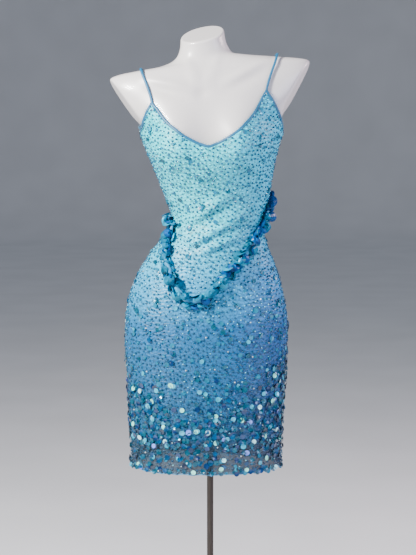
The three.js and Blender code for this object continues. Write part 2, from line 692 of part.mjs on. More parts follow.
// A block that takes away the neck above its slanted cut.
function neckCutter() {
  const size = 300;
  const block = new THREE.BoxGeometry(size, size, size);
  block.translate(0, 0, size / 2);
  block.rotateX(THREE.MathUtils.degToRad(NECK_CUT.riseBack));
  block.rotateY(THREE.MathUtils.degToRad(-NECK_CUT.riseRight));
  block.translate(NECK_CUT.x, 0, NECK_CUT.z);
  return toSolid(block);
}

function formTorso() {
  const cutters = [...ARM_CUTS.map(armCutter), neckCutter()];
  const cut = cutters.reduce((solid, cutter) => solid.subtract(cutter), toSolid(formSkin()));
  return toGeometry(cut);
}

// A turned piece from its profile of radii and heights, standing along Z.
function turned(profile, segments = ROUND_SEGMENTS) {
  const outline = profile.map(([radius, height]) => new THREE.Vector2(radius, height));
  const lathe = new THREE.LatheGeometry(outline, segments);
  return lathe.rotateX(Math.PI / 2);
}

function formSocket() {
  const { radius, bottom, top, boreTop, boreRadius } = SOCKET;
  const flare = 4;
  return turned([
    [0, top], [radius, top], [radius, bottom + 12], [radius - flare, bottom], [boreRadius, bottom],
    [boreRadius, boreTop], [0, boreTop],
  ].reverse());
}

function standPole() {
  return turned([[0, POLE.bottom], [POLE.radius, POLE.bottom], [POLE.radius, POLE.top], [0, POLE.top]], 24);
}

function standCollar() {
  const { radius, bottom, top, boreRadius, chamfer } = COLLAR;
  const profile = [[boreRadius, bottom], [radius, bottom], [radius, top - chamfer], [radius - chamfer, top],
    [boreRadius, top], [boreRadius, bottom]];
  return turned(profile, 24);
}

function standBase() {
  const { radius, thickness, chamfer } = BASE;
  return turned([
    [0, 0], [radius, 0], [radius, thickness - chamfer], [radius - chamfer, thickness], [0, thickness],
  ], 48);
}

const FINISHES = {
  net: { color: 0x8fd0e6, roughness: 0.45, metalness: 0.1 },
  lining: { color: 0xb8e4f0, roughness: 0.5, metalness: 0 },
  binding: { color: 0x3c96c3, roughness: 0.5, metalness: 0 },
  paillettes: { color: 0x0a6eaa, roughness: 0.2, metalness: 0.6 },
  form: { color: 0xe1dddd, roughness: 0.4, metalness: 0 },
  steel: { color: 0x3a3836, roughness: 0.25, metalness: 0.9 },
};

const group = new THREE.Group();

// Adds one named piece to the group.
function addPiece(name, geometry, finish) {
  const mesh = new THREE.Mesh(geometry, new THREE.MeshStandardMaterial(FINISHES[finish]));
  mesh.name = name;
  group.add(mesh);
}

const NO_TRIM = {};
for (const [place, panel] of [["front", FRONT], ["back", BACK]]) {
  addPiece(`lining_${place}`, clothWall(panel, LINING, ROWS.belowLining, TOP_INDEX, NO_TRIM), "lining");
  const skirt = clothWall(panel, NET, 0, SEAM_INDEX, { top: SEAM_GAP * 0.7 });
  addPiece(`skirt_${place}`, skirt, "net");
  const bodice = clothWall(panel, NET, SEAM_INDEX, TOP_INDEX, { bottom: SEAM_GAP * 0.7 });
  addPiece(`bodice_${place}`, bodice, "net");
  addPiece(`swag_${place}`, swag(panel.seam), "paillettes");
  addPiece(`hem_roll_${place}`, hemRoll(panel), "binding");
}
addPiece("neckline_binding", binding([EDGES.frontNeck], BINDING.endCut, BINDING.endCut), "binding");
addPiece("back_neckline_binding", binding([EDGES.backNeck], BINDING.endCut, BINDING.endCut), "binding");
const leftArmhole = [EDGES.backLeftArmhole, EDGES.leftArmhole];
addPiece("armhole_binding_left", binding(leftArmhole, BINDING.endCut, BINDING.endCut), "binding");
const rightArmhole = [EDGES.rightArmhole, EDGES.backRightArmhole];
addPiece("armhole_binding_right", binding(rightArmhole, BINDING.endCut, BINDING.endCut), "binding");
addPiece("strap_left", strap({ x: -117, z: 1258 }, { x: -106.5, z: 1215 }, -142, 0), "binding");
addPiece("strap_right", strap({ x: 113, z: 1284 }, { x: 104, z: 1231 }, 138, RIGHT_STRAP_LOOP), "binding");
addPiece("form_torso", formTorso(), "form");
addPiece("form_socket", formSocket(), "steel");
addPiece("stand_pole", standPole(), "steel");
addPiece("stand_collar", standCollar(), "steel");
addPiece("stand_base", standBase(), "steel");

export default group;
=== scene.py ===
"""Looks of a sequinned bodycon slip dress on a limbless dress form, in metres, +Z up, facing -Y."""

import json
import logging
import math
from collections.abc import Callable, Iterator
from contextlib import contextmanager
from dataclasses import dataclass, field, replace
from enum import Enum

import bmesh
import bpy
import numpy as np
from bpy.types import Material, Mesh, Node, NodeSocket, NodeTree, Object
from mathutils import Matrix, Vector

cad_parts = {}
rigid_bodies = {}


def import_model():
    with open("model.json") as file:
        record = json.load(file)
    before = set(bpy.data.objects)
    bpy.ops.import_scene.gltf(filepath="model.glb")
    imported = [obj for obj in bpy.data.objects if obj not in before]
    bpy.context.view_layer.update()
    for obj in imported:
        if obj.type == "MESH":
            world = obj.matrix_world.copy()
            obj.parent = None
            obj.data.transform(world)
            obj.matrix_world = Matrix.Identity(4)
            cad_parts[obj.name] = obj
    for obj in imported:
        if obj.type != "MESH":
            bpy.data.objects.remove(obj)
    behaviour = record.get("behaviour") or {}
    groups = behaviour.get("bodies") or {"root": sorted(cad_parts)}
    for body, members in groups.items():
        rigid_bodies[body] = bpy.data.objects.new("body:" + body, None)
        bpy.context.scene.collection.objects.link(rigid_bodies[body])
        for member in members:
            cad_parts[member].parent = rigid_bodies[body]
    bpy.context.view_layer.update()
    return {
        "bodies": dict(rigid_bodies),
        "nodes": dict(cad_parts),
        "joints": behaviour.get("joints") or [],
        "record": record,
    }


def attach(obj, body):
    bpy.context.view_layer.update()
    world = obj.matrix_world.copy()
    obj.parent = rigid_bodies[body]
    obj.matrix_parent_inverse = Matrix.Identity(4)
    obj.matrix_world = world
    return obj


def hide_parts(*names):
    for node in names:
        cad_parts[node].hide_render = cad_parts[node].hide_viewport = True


log = logging.getLogger("dress")
MM = 0.001
BODY = "root"


class Side(Enum):
    """The two halves of the dress between its side seams."""

    FRONT = "front"
    BACK = "back"


@dataclass(frozen=True)
class Section:
    """One level of the figure in millimetres: side points, reach to front and back, and the net's ease."""

    name: str
    left: tuple[float, float]
    right: tuple[float, float]
    reach: tuple[float, float]
    ease: tuple[float, float, float, float] = (0, 0, 0, 0)


SECTIONS = (
    Section("hem", (-140, 500), (99, 500), (88, 80), (22, 46, 12, 12)),
    Section("lining hem", (-142, 556), (103, 556), (88, 84), (21, 43, 11, 10)),
    Section("thigh", (-151, 624), (119, 624), (89, 91), (15, 29, 9, 8)),
    Section("low hip", (-163, 695), (140, 704), (93, 101), (7, 13, 5, 4)),
    Section("hip", (-173, 768), (157, 789), (97, 108), (1, 1, 2, 1)),
    Section("high hip", (-168, 842), (151, 848), (97, 109), (0, 0, 1, 1)),
    Section("upper hip", (-149.5, 897), (140.5, 891), (95, 106), (0, 0, 0, 1)),
    Section("belly", (-122, 943), (128, 929), (90, 93), (0, 0, 0, 2)),
    Section("high belly", (-92.5, 983), (115.5, 960), (83, 79), (0, 0, 0, 3)),
    Section("waist", (-75.5, 1025), (107, 996), (75, 68), (0, 0, 1, 3)),
    Section("ribs", (-88, 1065), (113, 1040), (75, 70), (0, 0, 2, 2)),
    Section("high ribs", (-103.5, 1105), (121, 1086), (79, 76), (0, 0, 3, 1)),
    Section("under bust", (-118, 1142), (128, 1132), (82, 81), (0, 0, 2, 0)),
    Section("bust", (-131, 1171), (137.5, 1171), (84, 85)),
    Section("underarm", (-138, 1192), (145.5, 1196), (85, 88)),
    Section("armpit", (-146, 1210), (152, 1230), (85, 90)),
    Section("low cap", (-182, 1230), (184, 1256), (82, 91)),
    Section("mid cap", (-209, 1254), (209, 1286), (77, 90)),
    Section("high cap", (-222, 1281), (222, 1318), (70, 85)),
    Section("shoulder tip", (-212, 1304), (211, 1340), (62, 77)),
    Section("shoulder top", (-192, 1316), (193, 1350), (56, 70)),
    Section("yoke", (-150, 1325), (142, 1354.5), (51, 63)),
    Section("slope", (-110, 1332), (96, 1357.5), (48, 58)),
    Section("nape", (-84, 1341), (66, 1360), (46, 54)),
    Section("neck base", (-70, 1352), (47, 1363), (45, 51)),
    Section("low neck", (-63, 1368), (37, 1375), (45, 49)),
    Section("neck", (-61, 1390), (30, 1396), (46, 48)),
    Section("neck end", (-60.5, 1450), (23, 1456), (46, 48)),
)
SQUARENESS = 2.15
CHEST_HALF = 147
ROW = {section.name: row for row, section in enumerate(SECTIONS)}


@dataclass(frozen=True)
class Bell:
    """A soft swell of the figure or of the cloth, in millimetres."""

    x: float
    z: float
    height: float
    spread_x: float
    spread_up: float
    spread_down: float

    def at(self, x: np.ndarray, z: np.ndarray) -> np.ndarray:
        """Height of the swell at points seen from the front or the back."""
        spread = np.where(z > self.z, self.spread_up, self.spread_down)
        return self.height * np.exp(-(((x - self.x) / self.spread_x) ** 2 + ((z - self.z) / spread) ** 2) / 2)


FRONT_SWELLS = (Bell(-77, 1163, 40, 38, 56, 37), Bell(68, 1171, 40, 38, 56, 37))
BACK_SWELLS = (Bell(-78, 806, 13, 52, 60, 52), Bell(66, 812, 13, 52, 60, 52))
BRIDGE = Bell(-4, 1146, 17, 30, 44, 46)


@dataclass(frozen=True)
class Crease:
    """A soft ridge of the cloth between two points, seen from the front or the back, in millimetres."""

    start: tuple[float, float]
    end: tuple[float, float]
    height: float
    spread: float
    steep: float = 1.0

    def at(self, x: np.ndarray, z: np.ndarray) -> np.ndarray:
        """Height of the ridge, full along its middle, fading to its ends, and faster below where steep."""
        run_x, run_z = self.end[0] - self.start[0], self.end[1] - self.start[1]
        length = run_x * run_x + run_z * run_z
        along = ((x - self.start[0]) * run_x + (z - self.start[1]) * run_z) / length
        along = np.clip(along, 0, 1)
        away = np.hypot(x - self.start[0] - along * run_x, z - self.start[1] - along * run_z)
        spread = np.where(z < self.start[1] + along * run_z, self.spread * self.steep, self.spread)
        return self.height * np.sin(math.pi * (0.12 + 0.76 * along)) * np.exp(-((away / spread) ** 2))


FRONT_CREASES = (
    Crease((58, 1040), (-28, 1012), 2.2, 10),
    Crease((66, 1004), (-14, 973), 2.6, 10),
    Crease((60, 966), (-10, 943), 2.0, 9),
    Crease((-66, 1046), (-10, 1066), 1.6, 10),
)
FINE_CREASES = (
    Crease((30, 1066), (-38, 1016), 10.0, 15, 0.34),
    Crease((60, 1024), (-40, 968), 11.0, 15, 0.34),
    Crease((56, 985), (-22, 950), 9.0, 12, 0.34),
    Crease((-78, 1112), (-20, 1082), 1.6, 9, 0.6),
    Crease((92, 1052), (34, 1030), 1.2, 4),
    Crease((-60, 1018), (-20, 1026), 1.0, 5),
    Crease((-120, 1178), (-92, 1150), 1.2, 6),
    Crease((128, 1180), (104, 1150), 1.2, 6),
    Crease((-66, 912), (-12, 872), -4.2, 12),
    Crease((-58, 942), (26, 926), 1.6, 12),
)
FORM_RELIEF = (
    Crease((-132, 1309), (-36, 1286), 4.0, 9),
    Crease((-122, 1291), (-52, 1270), -2.4, 11),
    Crease((30, 1300), (114, 1344), 4.0, 9),
    Crease((30, 1282), (106, 1321), -2.4, 11),
    Crease((-46, 1348), (-23, 1286), 2.8, 9),
    Crease((16, 1352), (-9, 1286), 2.8, 9),
    Crease((-17, 1290), (-16, 1268), -4.0, 9),
)
BACK_CREASES = (
    Crease((70, 1046), (-30, 1034), 1.6, 8),
    Crease((78, 1010), (-52, 1000), 1.8, 9),
    Crease((60, 980), (-60, 974), 1.4, 8),
    Crease((-50, 1062), (30, 1072), 1.2, 8),
)


@dataclass(frozen=True)
class Layer:
    """A cloth wall as distances out from the figure in millimetres, and whether it has the net's ease."""

    inner: float
    outer: float
    ease: float


LINING = Layer(0.9, 2.1, 0)
NET = Layer(3.0, 4.2, 1)


def signed_power(value: np.ndarray, power: float) -> np.ndarray:
    """Raises the size of a value to a power and keeps its sign."""
    return np.sign(value) * np.abs(value) ** power


def ring_angle(share: np.ndarray) -> np.ndarray:
    """Angle in degrees where a ring reaches a share of its half width, from 1 at the left side."""
    return np.degrees(np.arccos(signed_power(np.clip(share, -1, 1), SQUARENESS / 2)))

def crossing(low: float, high: float, below: Callable[[float], bool]) -> float:
    """The row between two rows up to which a test holds, found by halving."""
    while high - low > 1e-6:
        middle = (low + high) / 2
        if below(middle):
            low = middle
        else:
            high = middle
    return (low + high) / 2


class Figure:
    """The worn shape that the form, the lining and the net share, as a surface of angle and row.

    The angle runs from the left side seam (0) over the front centre (90) and the right side seam (180)
    round the back. The row is a place between the sections, from the hem up. Lengths are millimetres.
    """

    swell_fade: float = 1.7
    row_step: float = 0.05
    turn_step: float = 1.5

    def __init__(self) -> None:
        """Lays the sections out as one table of columns."""
        self.table = np.array([[*s.left, *s.right, *s.reach, *s.ease] for s in SECTIONS], float)

    def columns(self, row: np.ndarray) -> np.ndarray:
        """Every column of the sections at fractional rows, on a smooth curve through them.

        Args:
            row: rows of any shape.

        Returns:
            The ten columns, each of the shape of row.
        """
        last = len(self.table) - 1
        base = np.clip(np.floor(row).astype(int), 0, last - 1)
        u = (row - base)[..., None]
        before, start, end, after = (self.table[np.clip(base + k, 0, last)] for k in (-1, 0, 1, 2))
        curve = 2 * before - 5 * start + 4 * end - after
        turn = 3 * start - before - 3 * end + after
        return np.moveaxis(0.5 * (2 * start + (end - before) * u + curve * u**2 + turn * u**3), -1, 0)

    def ring(self, row: np.ndarray, ease: float) -> dict[str, np.ndarray]:
        """Middle, half width, tilt and reaches of the rings at some rows."""
        left, left_z, right, right_z, front, back, e_left, e_right, e_front, e_back = self.columns(row)
        left, right = left - ease * e_left, right + ease * e_right
        return {
            "x": (left + right) / 2,
            "half": (right - left) / 2,
            "z": (left_z + right_z) / 2,
            "tilt": (right_z - left_z) / (right - left),
            "front": front + ease * e_front,
            "back": back + ease * e_back,
        }

    def point(self, angle: np.ndarray, row: np.ndarray, ease: float = 0) -> np.ndarray:
        """Points of the figure's surface, as an array with a last axis of x, y and z."""
        ring = self.ring(row, ease)
        turn = np.radians(angle)
        x = ring["x"] - ring["half"] * signed_power(np.cos(turn), 2 / SQUARENESS)
        reach = signed_power(np.sin(turn), 2 / SQUARENESS)
        z = ring["z"] + ring["tilt"] * (x - ring["x"])
        fade = np.minimum(1, self.swell_fade * np.abs(reach))
        front, back = (sum(bell.at(x, z) for bell in bells) for bells in (FRONT_SWELLS, BACK_SWELLS))
        swell = np.where(reach > 0, front, back)
        y = -reach * np.where(reach > 0, ring["front"], ring["back"]) - np.sign(reach) * fade * swell
        return np.stack([x, y, z], -1)

    def normal(self, angle: np.ndarray, row: np.ndarray, ease: float = 0) -> np.ndarray:
        """Outward unit normals of the surface."""
        low = np.maximum(row - self.row_step, 0)
        high = np.minimum(row + self.row_step, len(self.table) - 1)
        across = self.point(angle + self.turn_step, row, ease) - self.point(angle - self.turn_step, row, ease)
        along = self.point(angle, high, ease) - self.point(angle, low, ease)
        cross = np.cross(across, along)
        return cross / np.linalg.norm(cross, axis=-1, keepdims=True)

    def girth_half(self, row: np.ndarray) -> np.ndarray:
        """Half width that the cloth's columns spread over, which stays with the chest at the arms."""
        half = self.ring(row, 0)["half"]
        return np.where(row <= ROW["underarm"], half, np.minimum(half, CHEST_HALF))

    def figure_angle(self, column: np.ndarray, row: np.ndarray) -> np.ndarray:
        """The figure's angle of a cloth column at some rows."""
        cosine = signed_power(np.cos(np.radians(column)), 2 / SQUARENESS)
        turn = ring_angle(cosine * self.girth_half(row) / self.ring(row, 0)["half"])
        return np.where(column > 180, 360 - turn, turn)

    def height(self, row: np.ndarray | float, x: np.ndarray | float) -> np.ndarray:
        """The height of the slanting rings at distances across."""
        ring = self.ring(np.asarray(row, float), 0)
        return ring["z"] + ring["tilt"] * (x - ring["x"])

    def locate(self, x: float, z: float, side: Side) -> tuple[float, float]:
        """The cloth column's angle and the row of a point seen from the front or the back."""
        row = np.array(crossing(0.0, len(self.table) - 1.0, lambda level: self.height(level, x) < z))
        turn = float(ring_angle((self.ring(row, 0)["x"] - x) / self.girth_half(row)))
        return (turn if side is Side.FRONT else 360 - turn), float(row)


FIGURE = Figure()


class EdgeLine:
    """A cloth edge drawn as points seen from the front or the back, and read as row by angle."""

    def __init__(
        self, points: tuple, side: Side, start: float | None = None, end: float | None = None
    ) -> None:
        """Finds the angle and row of each point.

        Args:
            points: x and z of each point in millimetres, in order of angle.
            side: the half of the dress that the line is on.
            start: the first point's angle, where it lies on a side seam.
            end: the last point's angle, where it lies on a side seam.
        """
        found = [FIGURE.locate(x, z, side) for x, z in points]
        self.angles = np.array([angle for angle, _ in found])
        self.rows = np.array([row for _, row in found])
        if start is not None:
            self.angles[0] = start
        if end is not None:
            self.angles[-1] = end
        slope = np.diff(self.rows) / np.diff(self.angles)
        product = slope[:-1] * slope[1:]
        total = slope[:-1] + slope[1:]
        inner = np.where(product <= 0, 0, 2 * product / np.where(np.abs(total) < 1e-12, 1, total))
        self.tangents = np.concatenate([[slope[0]], inner, [slope[-1]]])

    def row(self, angle: np.ndarray) -> np.ndarray:
        """Rows of the line at some angles, on a curve that keeps between its points."""
        k = np.clip(np.searchsorted(self.angles, angle, side="right") - 1, 0, len(self.angles) - 2)
        width = self.angles[k + 1] - self.angles[k]
        u = np.clip((angle - self.angles[k]) / width, 0, 1)
        base = self.rows[k] * (1 + 2 * u) * (1 - u) ** 2 + self.rows[k + 1] * u * u * (3 - 2 * u)
        return base + width * (self.tangents[k] * u * (1 - u) ** 2 - self.tangents[k + 1] * u * u * (1 - u))

    def spread(self, count: int) -> np.ndarray:
        """Some angles evenly from the line's start, without its end."""
        return np.linspace(self.angles[0], self.angles[-1], count, endpoint=False)


LEFT_ARMHOLE = EdgeLine(
    ((-141, 1192.5), (-140, 1201), (-136, 1212.5), (-130, 1227.5), (-123.3, 1242.6), (-117, 1256.5)),
    Side.FRONT, start=0,
)
FRONT_NECK = EdgeLine(
    (
        (-117, 1256.5), (-103.5, 1237), (-89.5, 1219.5), (-71.3, 1202.3), (-48.5, 1185), (-25, 1173.6),
        (-2, 1169.5), (22.5, 1176.6), (46, 1191.2), (68, 1210.6), (86, 1232), (100, 1254.6), (113, 1282),
    ),
    Side.FRONT,
)
RIGHT_ARMHOLE = EdgeLine(
    ((113, 1282), (118.5, 1270), (127, 1256), (135.3, 1239), (140.5, 1225), (143.8, 1213), (148, 1197)),
    Side.FRONT, end=180,
)
BACK_RIGHT_ARMHOLE = EdgeLine(((148, 1197), (138, 1199), (121, 1208), (104, 1229)), Side.BACK, start=180)
BACK_NECK = EdgeLine(
    ((104, 1229), (82, 1207), (50, 1192), (0, 1183), (-50, 1184), (-84, 1195), (-107, 1211)), Side.BACK
)
BACK_LEFT_ARMHOLE = EdgeLine(((-107, 1211), (-121, 1196), (-134, 1190), (-141, 1192.5)), Side.BACK, end=360)
FRONT_SEAM = EdgeLine(
    (
        (-75.5, 1022), (-72.5, 1005), (-79, 983), (-84.5, 956), (-83, 925), (-77, 903), (-66, 881),
        (-52, 865), (-37, 858.5), (-19, 862), (5, 878), (31, 909), (62, 944), (86, 981), (101, 1010),
        (112, 1042), (117, 1062),
    ),
    Side.FRONT, start=0, end=180,
)
BACK_SEAM = EdgeLine(
    ((117, 1062), (96, 1055), (55, 1036), (5, 1020), (-45, 1012), (-70, 1016), (-75.5, 1022)),
    Side.BACK, start=180, end=360,
)


@dataclass(frozen=True)
class Panel:
    """Half of the dress: its mesh columns, the lines of its top edge and its waist seam."""

    side: Side
    top: tuple[EdgeLine, EdgeLine, EdgeLine]
    seam: EdgeLine
    counts: tuple[int, int, int]

    def angles(self) -> np.ndarray:
        """Angles of the mesh columns, with one on each strap point."""
        runs = [line.spread(count) for line, count in zip(self.top, self.counts)]
        return np.concatenate([*runs, self.top[-1].angles[-1:]])

    def top_row(self, angles: np.ndarray) -> np.ndarray:
        """Rows of the top edge at some angles."""
        first, second = self.top[0].angles[-1], self.top[1].angles[-1]
        rows = [line.row(angles) for line in self.top]
        return np.where(angles <= first, rows[0], np.where(angles <= second, rows[1], rows[2]))


FRONT = Panel(Side.FRONT, (LEFT_ARMHOLE, FRONT_NECK, RIGHT_ARMHOLE), FRONT_SEAM, (26, 52, 26))
BACK = Panel(Side.BACK, (BACK_RIGHT_ARMHOLE, BACK_NECK, BACK_LEFT_ARMHOLE), BACK_SEAM, (24, 44, 24))
SEAM_GAP = 0.3
LINING_HEM_ROW = 1.05


@dataclass(frozen=True)
class Cloth:
    """Where the cloth lies: its layer, its creases, and its flutter near the hem. Millimetres."""

    side_fade: float = 30
    pucker_height: float = 0.35
    seam_height: float = 0.5
    seam_reach: float = 9
    smooth_below: float = 575
    smooth_span: float = 60
    deepest: float = -0.7
    broad_wave: float = 2.2
    short_wave: float = 2.6
    curl: float = 3.6

    def stand_off(self, angle: np.ndarray, row: np.ndarray) -> np.ndarray:
        """How far the cloth stands off the figure beyond its layer, at the figure's angles and rows."""
        x, y, z = np.moveaxis(FIGURE.point(angle, row, 1), -1, 0)
        folds = BRIDGE.at(x, z) + sum(c.at(x, z) for c in FRONT_CREASES + FINE_CREASES)
        front = np.clip(-y / self.side_fade, 0, 1) * folds
        back = np.clip(y / self.side_fade, 0, 1) * sum(c.at(x, z) for c in BACK_CREASES)
        turn = np.radians(angle)
        pucker = np.sin(z * 0.21 + 3 * np.sin(turn * 4)) * np.sin(turn * 23 + z * 0.045)
        seam = self.seam_height * np.exp(-((y / self.seam_reach) ** 2)) * np.sin(z * 0.37)
        fade = np.clip((z - self.smooth_below) / self.smooth_span, 0, 1)
        ruffled = fade * (self.pucker_height * pucker + seam + self.seam_height)
        return np.maximum(front + back + ruffled, self.deepest)

    def flutter(self, angle: np.ndarray, row: np.ndarray) -> np.ndarray:
        """The net's waves near the hem, broad ones all round and short ones towards the right side."""
        turn = np.radians(angle)
        below = np.clip(1 - row / 2, 0, 1) ** 2
        uneven = 0.6 + 0.4 * np.sin(turn * 2.3 + 1.1) - 0.3 * np.cos(turn)
        broad = self.broad_wave * below * uneven * np.sin(turn * 15 + 2 * np.sin(turn * 3))
        edge = np.clip(1 - row / 0.75, 0, 1) ** 1.5
        right = np.exp(-(((angle - 168) / 34) ** 2)) + 0.35 * np.exp(-(((angle - 5) / 22) ** 2))
        short = self.short_wave * edge * (right + 0.16) * np.sin(turn * 47 + 3 * np.sin(turn * 7))
        return broad + short

    def scallop(self, angle: np.ndarray, row: np.ndarray) -> np.ndarray:
        """How far the net's edge lifts and drops as it curls, most towards the right side."""
        turn = np.radians(angle)
        edge = np.clip(1 - row / 0.6, 0, 1) ** 1.5
        right = np.exp(-(((angle - 160) / 26) ** 2)) + 0.3 * np.exp(-(((angle - 8) / 20) ** 2))
        return edge * (self.curl * right + 0.7) * np.cos(turn * 24 + 1.4 * np.sin(turn * 5))

    def frame(self, column: np.ndarray, row: np.ndarray, distance: float, ease: float) -> tuple:
        """Points of the cloth at a distance out from the figure, and their outward normals.

        Args:
            column: cloth columns' angles in degrees.
            row: rows, of the same shape.
            distance: millimetres out from the figure, before creases.
            ease: 1 for the net and 0 for the lining.

        Returns:
            Points and normals, each with a last axis of x, y and z.
        """
        angle = FIGURE.figure_angle(column, row)
        normal = FIGURE.normal(angle, row, ease)
        reach = distance + self.stand_off(angle, row) + (self.flutter(angle, row) if ease else 0)
        points = FIGURE.point(angle, row, ease) + normal * np.expand_dims(reach, -1)
        if ease:
            points[..., 2] += self.scallop(angle, row)
        return points, normal

    def along(self, line: EdgeLine, distance: float, count: int) -> tuple:
        """Points and normals of an edge line on the net."""
        angles = np.linspace(line.angles[0], line.angles[-1], count)
        return self.frame(angles, line.row(angles), distance, 1)

    def grid(self, panel: Panel, rows: np.ndarray, distance: float, ease: float) -> np.ndarray:
        """Points over a panel, by column and row, with its side seams parted by half a seam's gap."""
        angles = panel.angles()[:, None] + np.zeros_like(rows)
        points, _ = self.frame(angles, rows, distance, ease)
        shift = SEAM_GAP / 2 * (-1 if panel.side is Side.FRONT else 1)
        points[[0, -1], :, 1] += shift
        return points

    def skirt_rows(self, panel: Panel, count: int) -> np.ndarray:
        """Rows of each column from the hem to the waist seam."""
        u = np.linspace(0, 1, count)[None, :]
        return panel.seam.row(panel.angles())[:, None] * u

    def bodice_rows(self, panel: Panel, count: int) -> np.ndarray:
        """Rows of each column from the waist seam to the top edge."""
        seam = panel.seam.row(panel.angles())[:, None]
        top = panel.top_row(panel.angles())[:, None]
        return seam + (top - seam) * np.linspace(0, 1, count)[None, :]

    def lining_rows(self, panel: Panel, count: int) -> np.ndarray:
        """Rows of each column from the lining's hem to the top edge."""
        top = panel.top_row(panel.angles())[:, None]
        return LINING_HEM_ROW + (top - LINING_HEM_ROW) * np.linspace(0, 1, count)[None, :]


CLOTH = Cloth()


def smooth_step(low: float, high: float, value: np.ndarray) -> np.ndarray:
    """Rises smoothly from 0 at low to 1 at high."""
    u = np.clip((value - low) / (high - low), 0, 1)
    return u * u * (3 - 2 * u)


def new_object(name: str, mesh: Mesh, material: Material | None = None) -> Object:
    """Links an object for a mesh at the origin, with its material."""
    piece = bpy.data.objects.new(name, mesh)
    bpy.context.scene.collection.objects.link(piece)
    if material is not None:
        mesh.materials.append(material)
    return piece


@contextmanager
def editing(mesh: Mesh) -> Iterator[bmesh.types.BMesh]:
    """Opens a mesh for editing and writes it back."""
    shell = bmesh.new()
    shell.from_mesh(mesh)
    yield shell
    shell.to_mesh(mesh)
    shell.free()


def mesh_from(name: str, points: np.ndarray, faces: list, smooth: bool = True) -> Mesh:
    """A mesh from points in millimetres and faces, with its normals made outward."""
    mesh = bpy.data.meshes.new(name)
    mesh.from_pydata((np.asarray(points).reshape(-1, 3) * MM).tolist(), [], faces)
    with editing(mesh) as shell:
        bmesh.ops.recalc_face_normals(shell, faces=shell.faces)
    if smooth:
        mesh.shade_smooth()
    else:
        mesh.shade_flat()
    return mesh


def give_points(mesh: Mesh, values: dict[str, np.ndarray]) -> None:
    """Stores a named number on each point of a mesh."""
    for name, numbers in values.items():
        attribute = mesh.attributes.new(name, "FLOAT", "POINT")
        attribute.data.foreach_set("value", numbers.astype(np.float32))


def band_faces(first: int, second: int, sides: int) -> list:
    """The four-cornered faces between two rings of points, from the number of each ring's first point."""
    return [
        (first + s, first + (s + 1) % sides, second + (s + 1) % sides, second + s) for s in range(sides)
    ]


def grid_faces(columns: int, rows: int, offset: int = 0, closed: bool = False) -> list:
    """The four-cornered faces of a grid of points, joined round when it is closed."""
    faces = []
    for i in range(columns if closed else columns - 1):
        left, right = offset + i * rows, offset + ((i + 1) % columns) * rows
        faces += [(left + j, right + j, right + j + 1, left + j + 1) for j in range(rows - 1)]
    return faces


def wall_mesh(name: str, outer: np.ndarray, inner: np.ndarray) -> Mesh:
    """A closed wall between two grids of points of one size."""
    columns, rows = outer.shape[:2]
    second = columns * rows
    faces = grid_faces(columns, rows) + [face[::-1] for face in grid_faces(columns, rows, second)]
    border = [i * rows for i in range(columns)]
    border += [(columns - 1) * rows + j for j in range(1, rows)]
    border += [i * rows + rows - 1 for i in range(columns - 2, -1, -1)]
    border += list(range(rows - 2, 0, -1))
    for a, b in zip(border, border[1:] + border[:1]):
        faces.append((b, a, a + second, b + second))
    return mesh_from(name, np.concatenate([outer.reshape(-1, 3), inner.reshape(-1, 3)]), faces)


def crosswise(path: np.ndarray, normals: np.ndarray) -> np.ndarray:
    """Unit directions across a path, along the surface that its normals stand on."""
    across = np.cross(np.gradient(path, axis=0), normals)
    return across / np.linalg.norm(across, axis=1, keepdims=True)


def run_lengths(path: np.ndarray) -> np.ndarray:
    """How far along a path each of its points is."""
    return np.concatenate([[0], np.cumsum(np.linalg.norm(np.diff(path, axis=0), axis=1))])


def tube_mesh(name: str, path: np.ndarray, normals: np.ndarray, shape: np.ndarray) -> Mesh:
    """A closed strip along a path, from a section given across it and out along its normals.

    Args:
        name: the mesh's name.
        path: points in millimetres.
        normals: outward normals at those points.
        shape: for each point of the path, or once for all, the section's points.
    """
    across = crosswise(path, normals)
    shape = np.broadcast_to(shape, (len(path), *shape.shape[-2:]))
    points = path[:, None] + across[:, None] * shape[..., :1] + normals[:, None] * shape[..., 1:]
    count, sides = points.shape[:2]
    faces = [face for k in range(count - 1) for face in band_faces(k * sides, (k + 1) * sides, sides)]
    faces += [tuple(range(sides))[::-1], tuple((count - 1) * sides + s for s in range(sides))]
    return mesh_from(name, points, faces)


def oval(width: float, thickness: float, sides: int) -> np.ndarray:
    """An oval section with its middle on the path."""
    turn = 2 * math.pi * (np.arange(sides) + 0.5) / sides
    return np.stack([width / 2 * np.cos(turn), thickness / 2 * np.sin(turn)], -1)


def even_path(points: np.ndarray, normals: np.ndarray, step: float, cuts: tuple[float, float]) -> tuple:
    """Points and normals spread evenly along a path, between two distances from its ends."""
    lengths = run_lengths(points)
    count = max(3, round((lengths[-1] - sum(cuts)) / step) + 1)
    places = np.linspace(cuts[0], lengths[-1] - cuts[1], count)
    path, out = (
        np.stack([np.interp(places, lengths, column) for column in values.T], -1)
        for values in (points, normals)
    )
    return path, out / np.linalg.norm(out, axis=1, keepdims=True)


class Graph:
    """Adds nodes to a node tree, each with its inputs set or wired at once."""

    def __init__(self, tree: NodeTree) -> None:
        """Takes the tree."""
        self.tree = tree

    def feed(self, node: Node, inputs: dict) -> None:
        """Wires a node's inputs to sockets, or sets them to plain values."""
        for key, value in inputs.items():
            if isinstance(value, NodeSocket):
                self.tree.links.new(value, node.inputs[key])
            else:
                node.inputs[key].default_value = value

    def add(self, kind: str, inputs: dict | None = None, **settings: object) -> Node:
        """Adds a node.

        Args:
            kind: the node's type.
            inputs: sockets or plain values, by the input's name or number.
            settings: the node's own choices.

        Returns:
            The node.
        """
        node = self.tree.nodes.new(kind)
        for name, value in settings.items():
            setattr(node, name, value)
        self.feed(node, inputs or {})
        return node


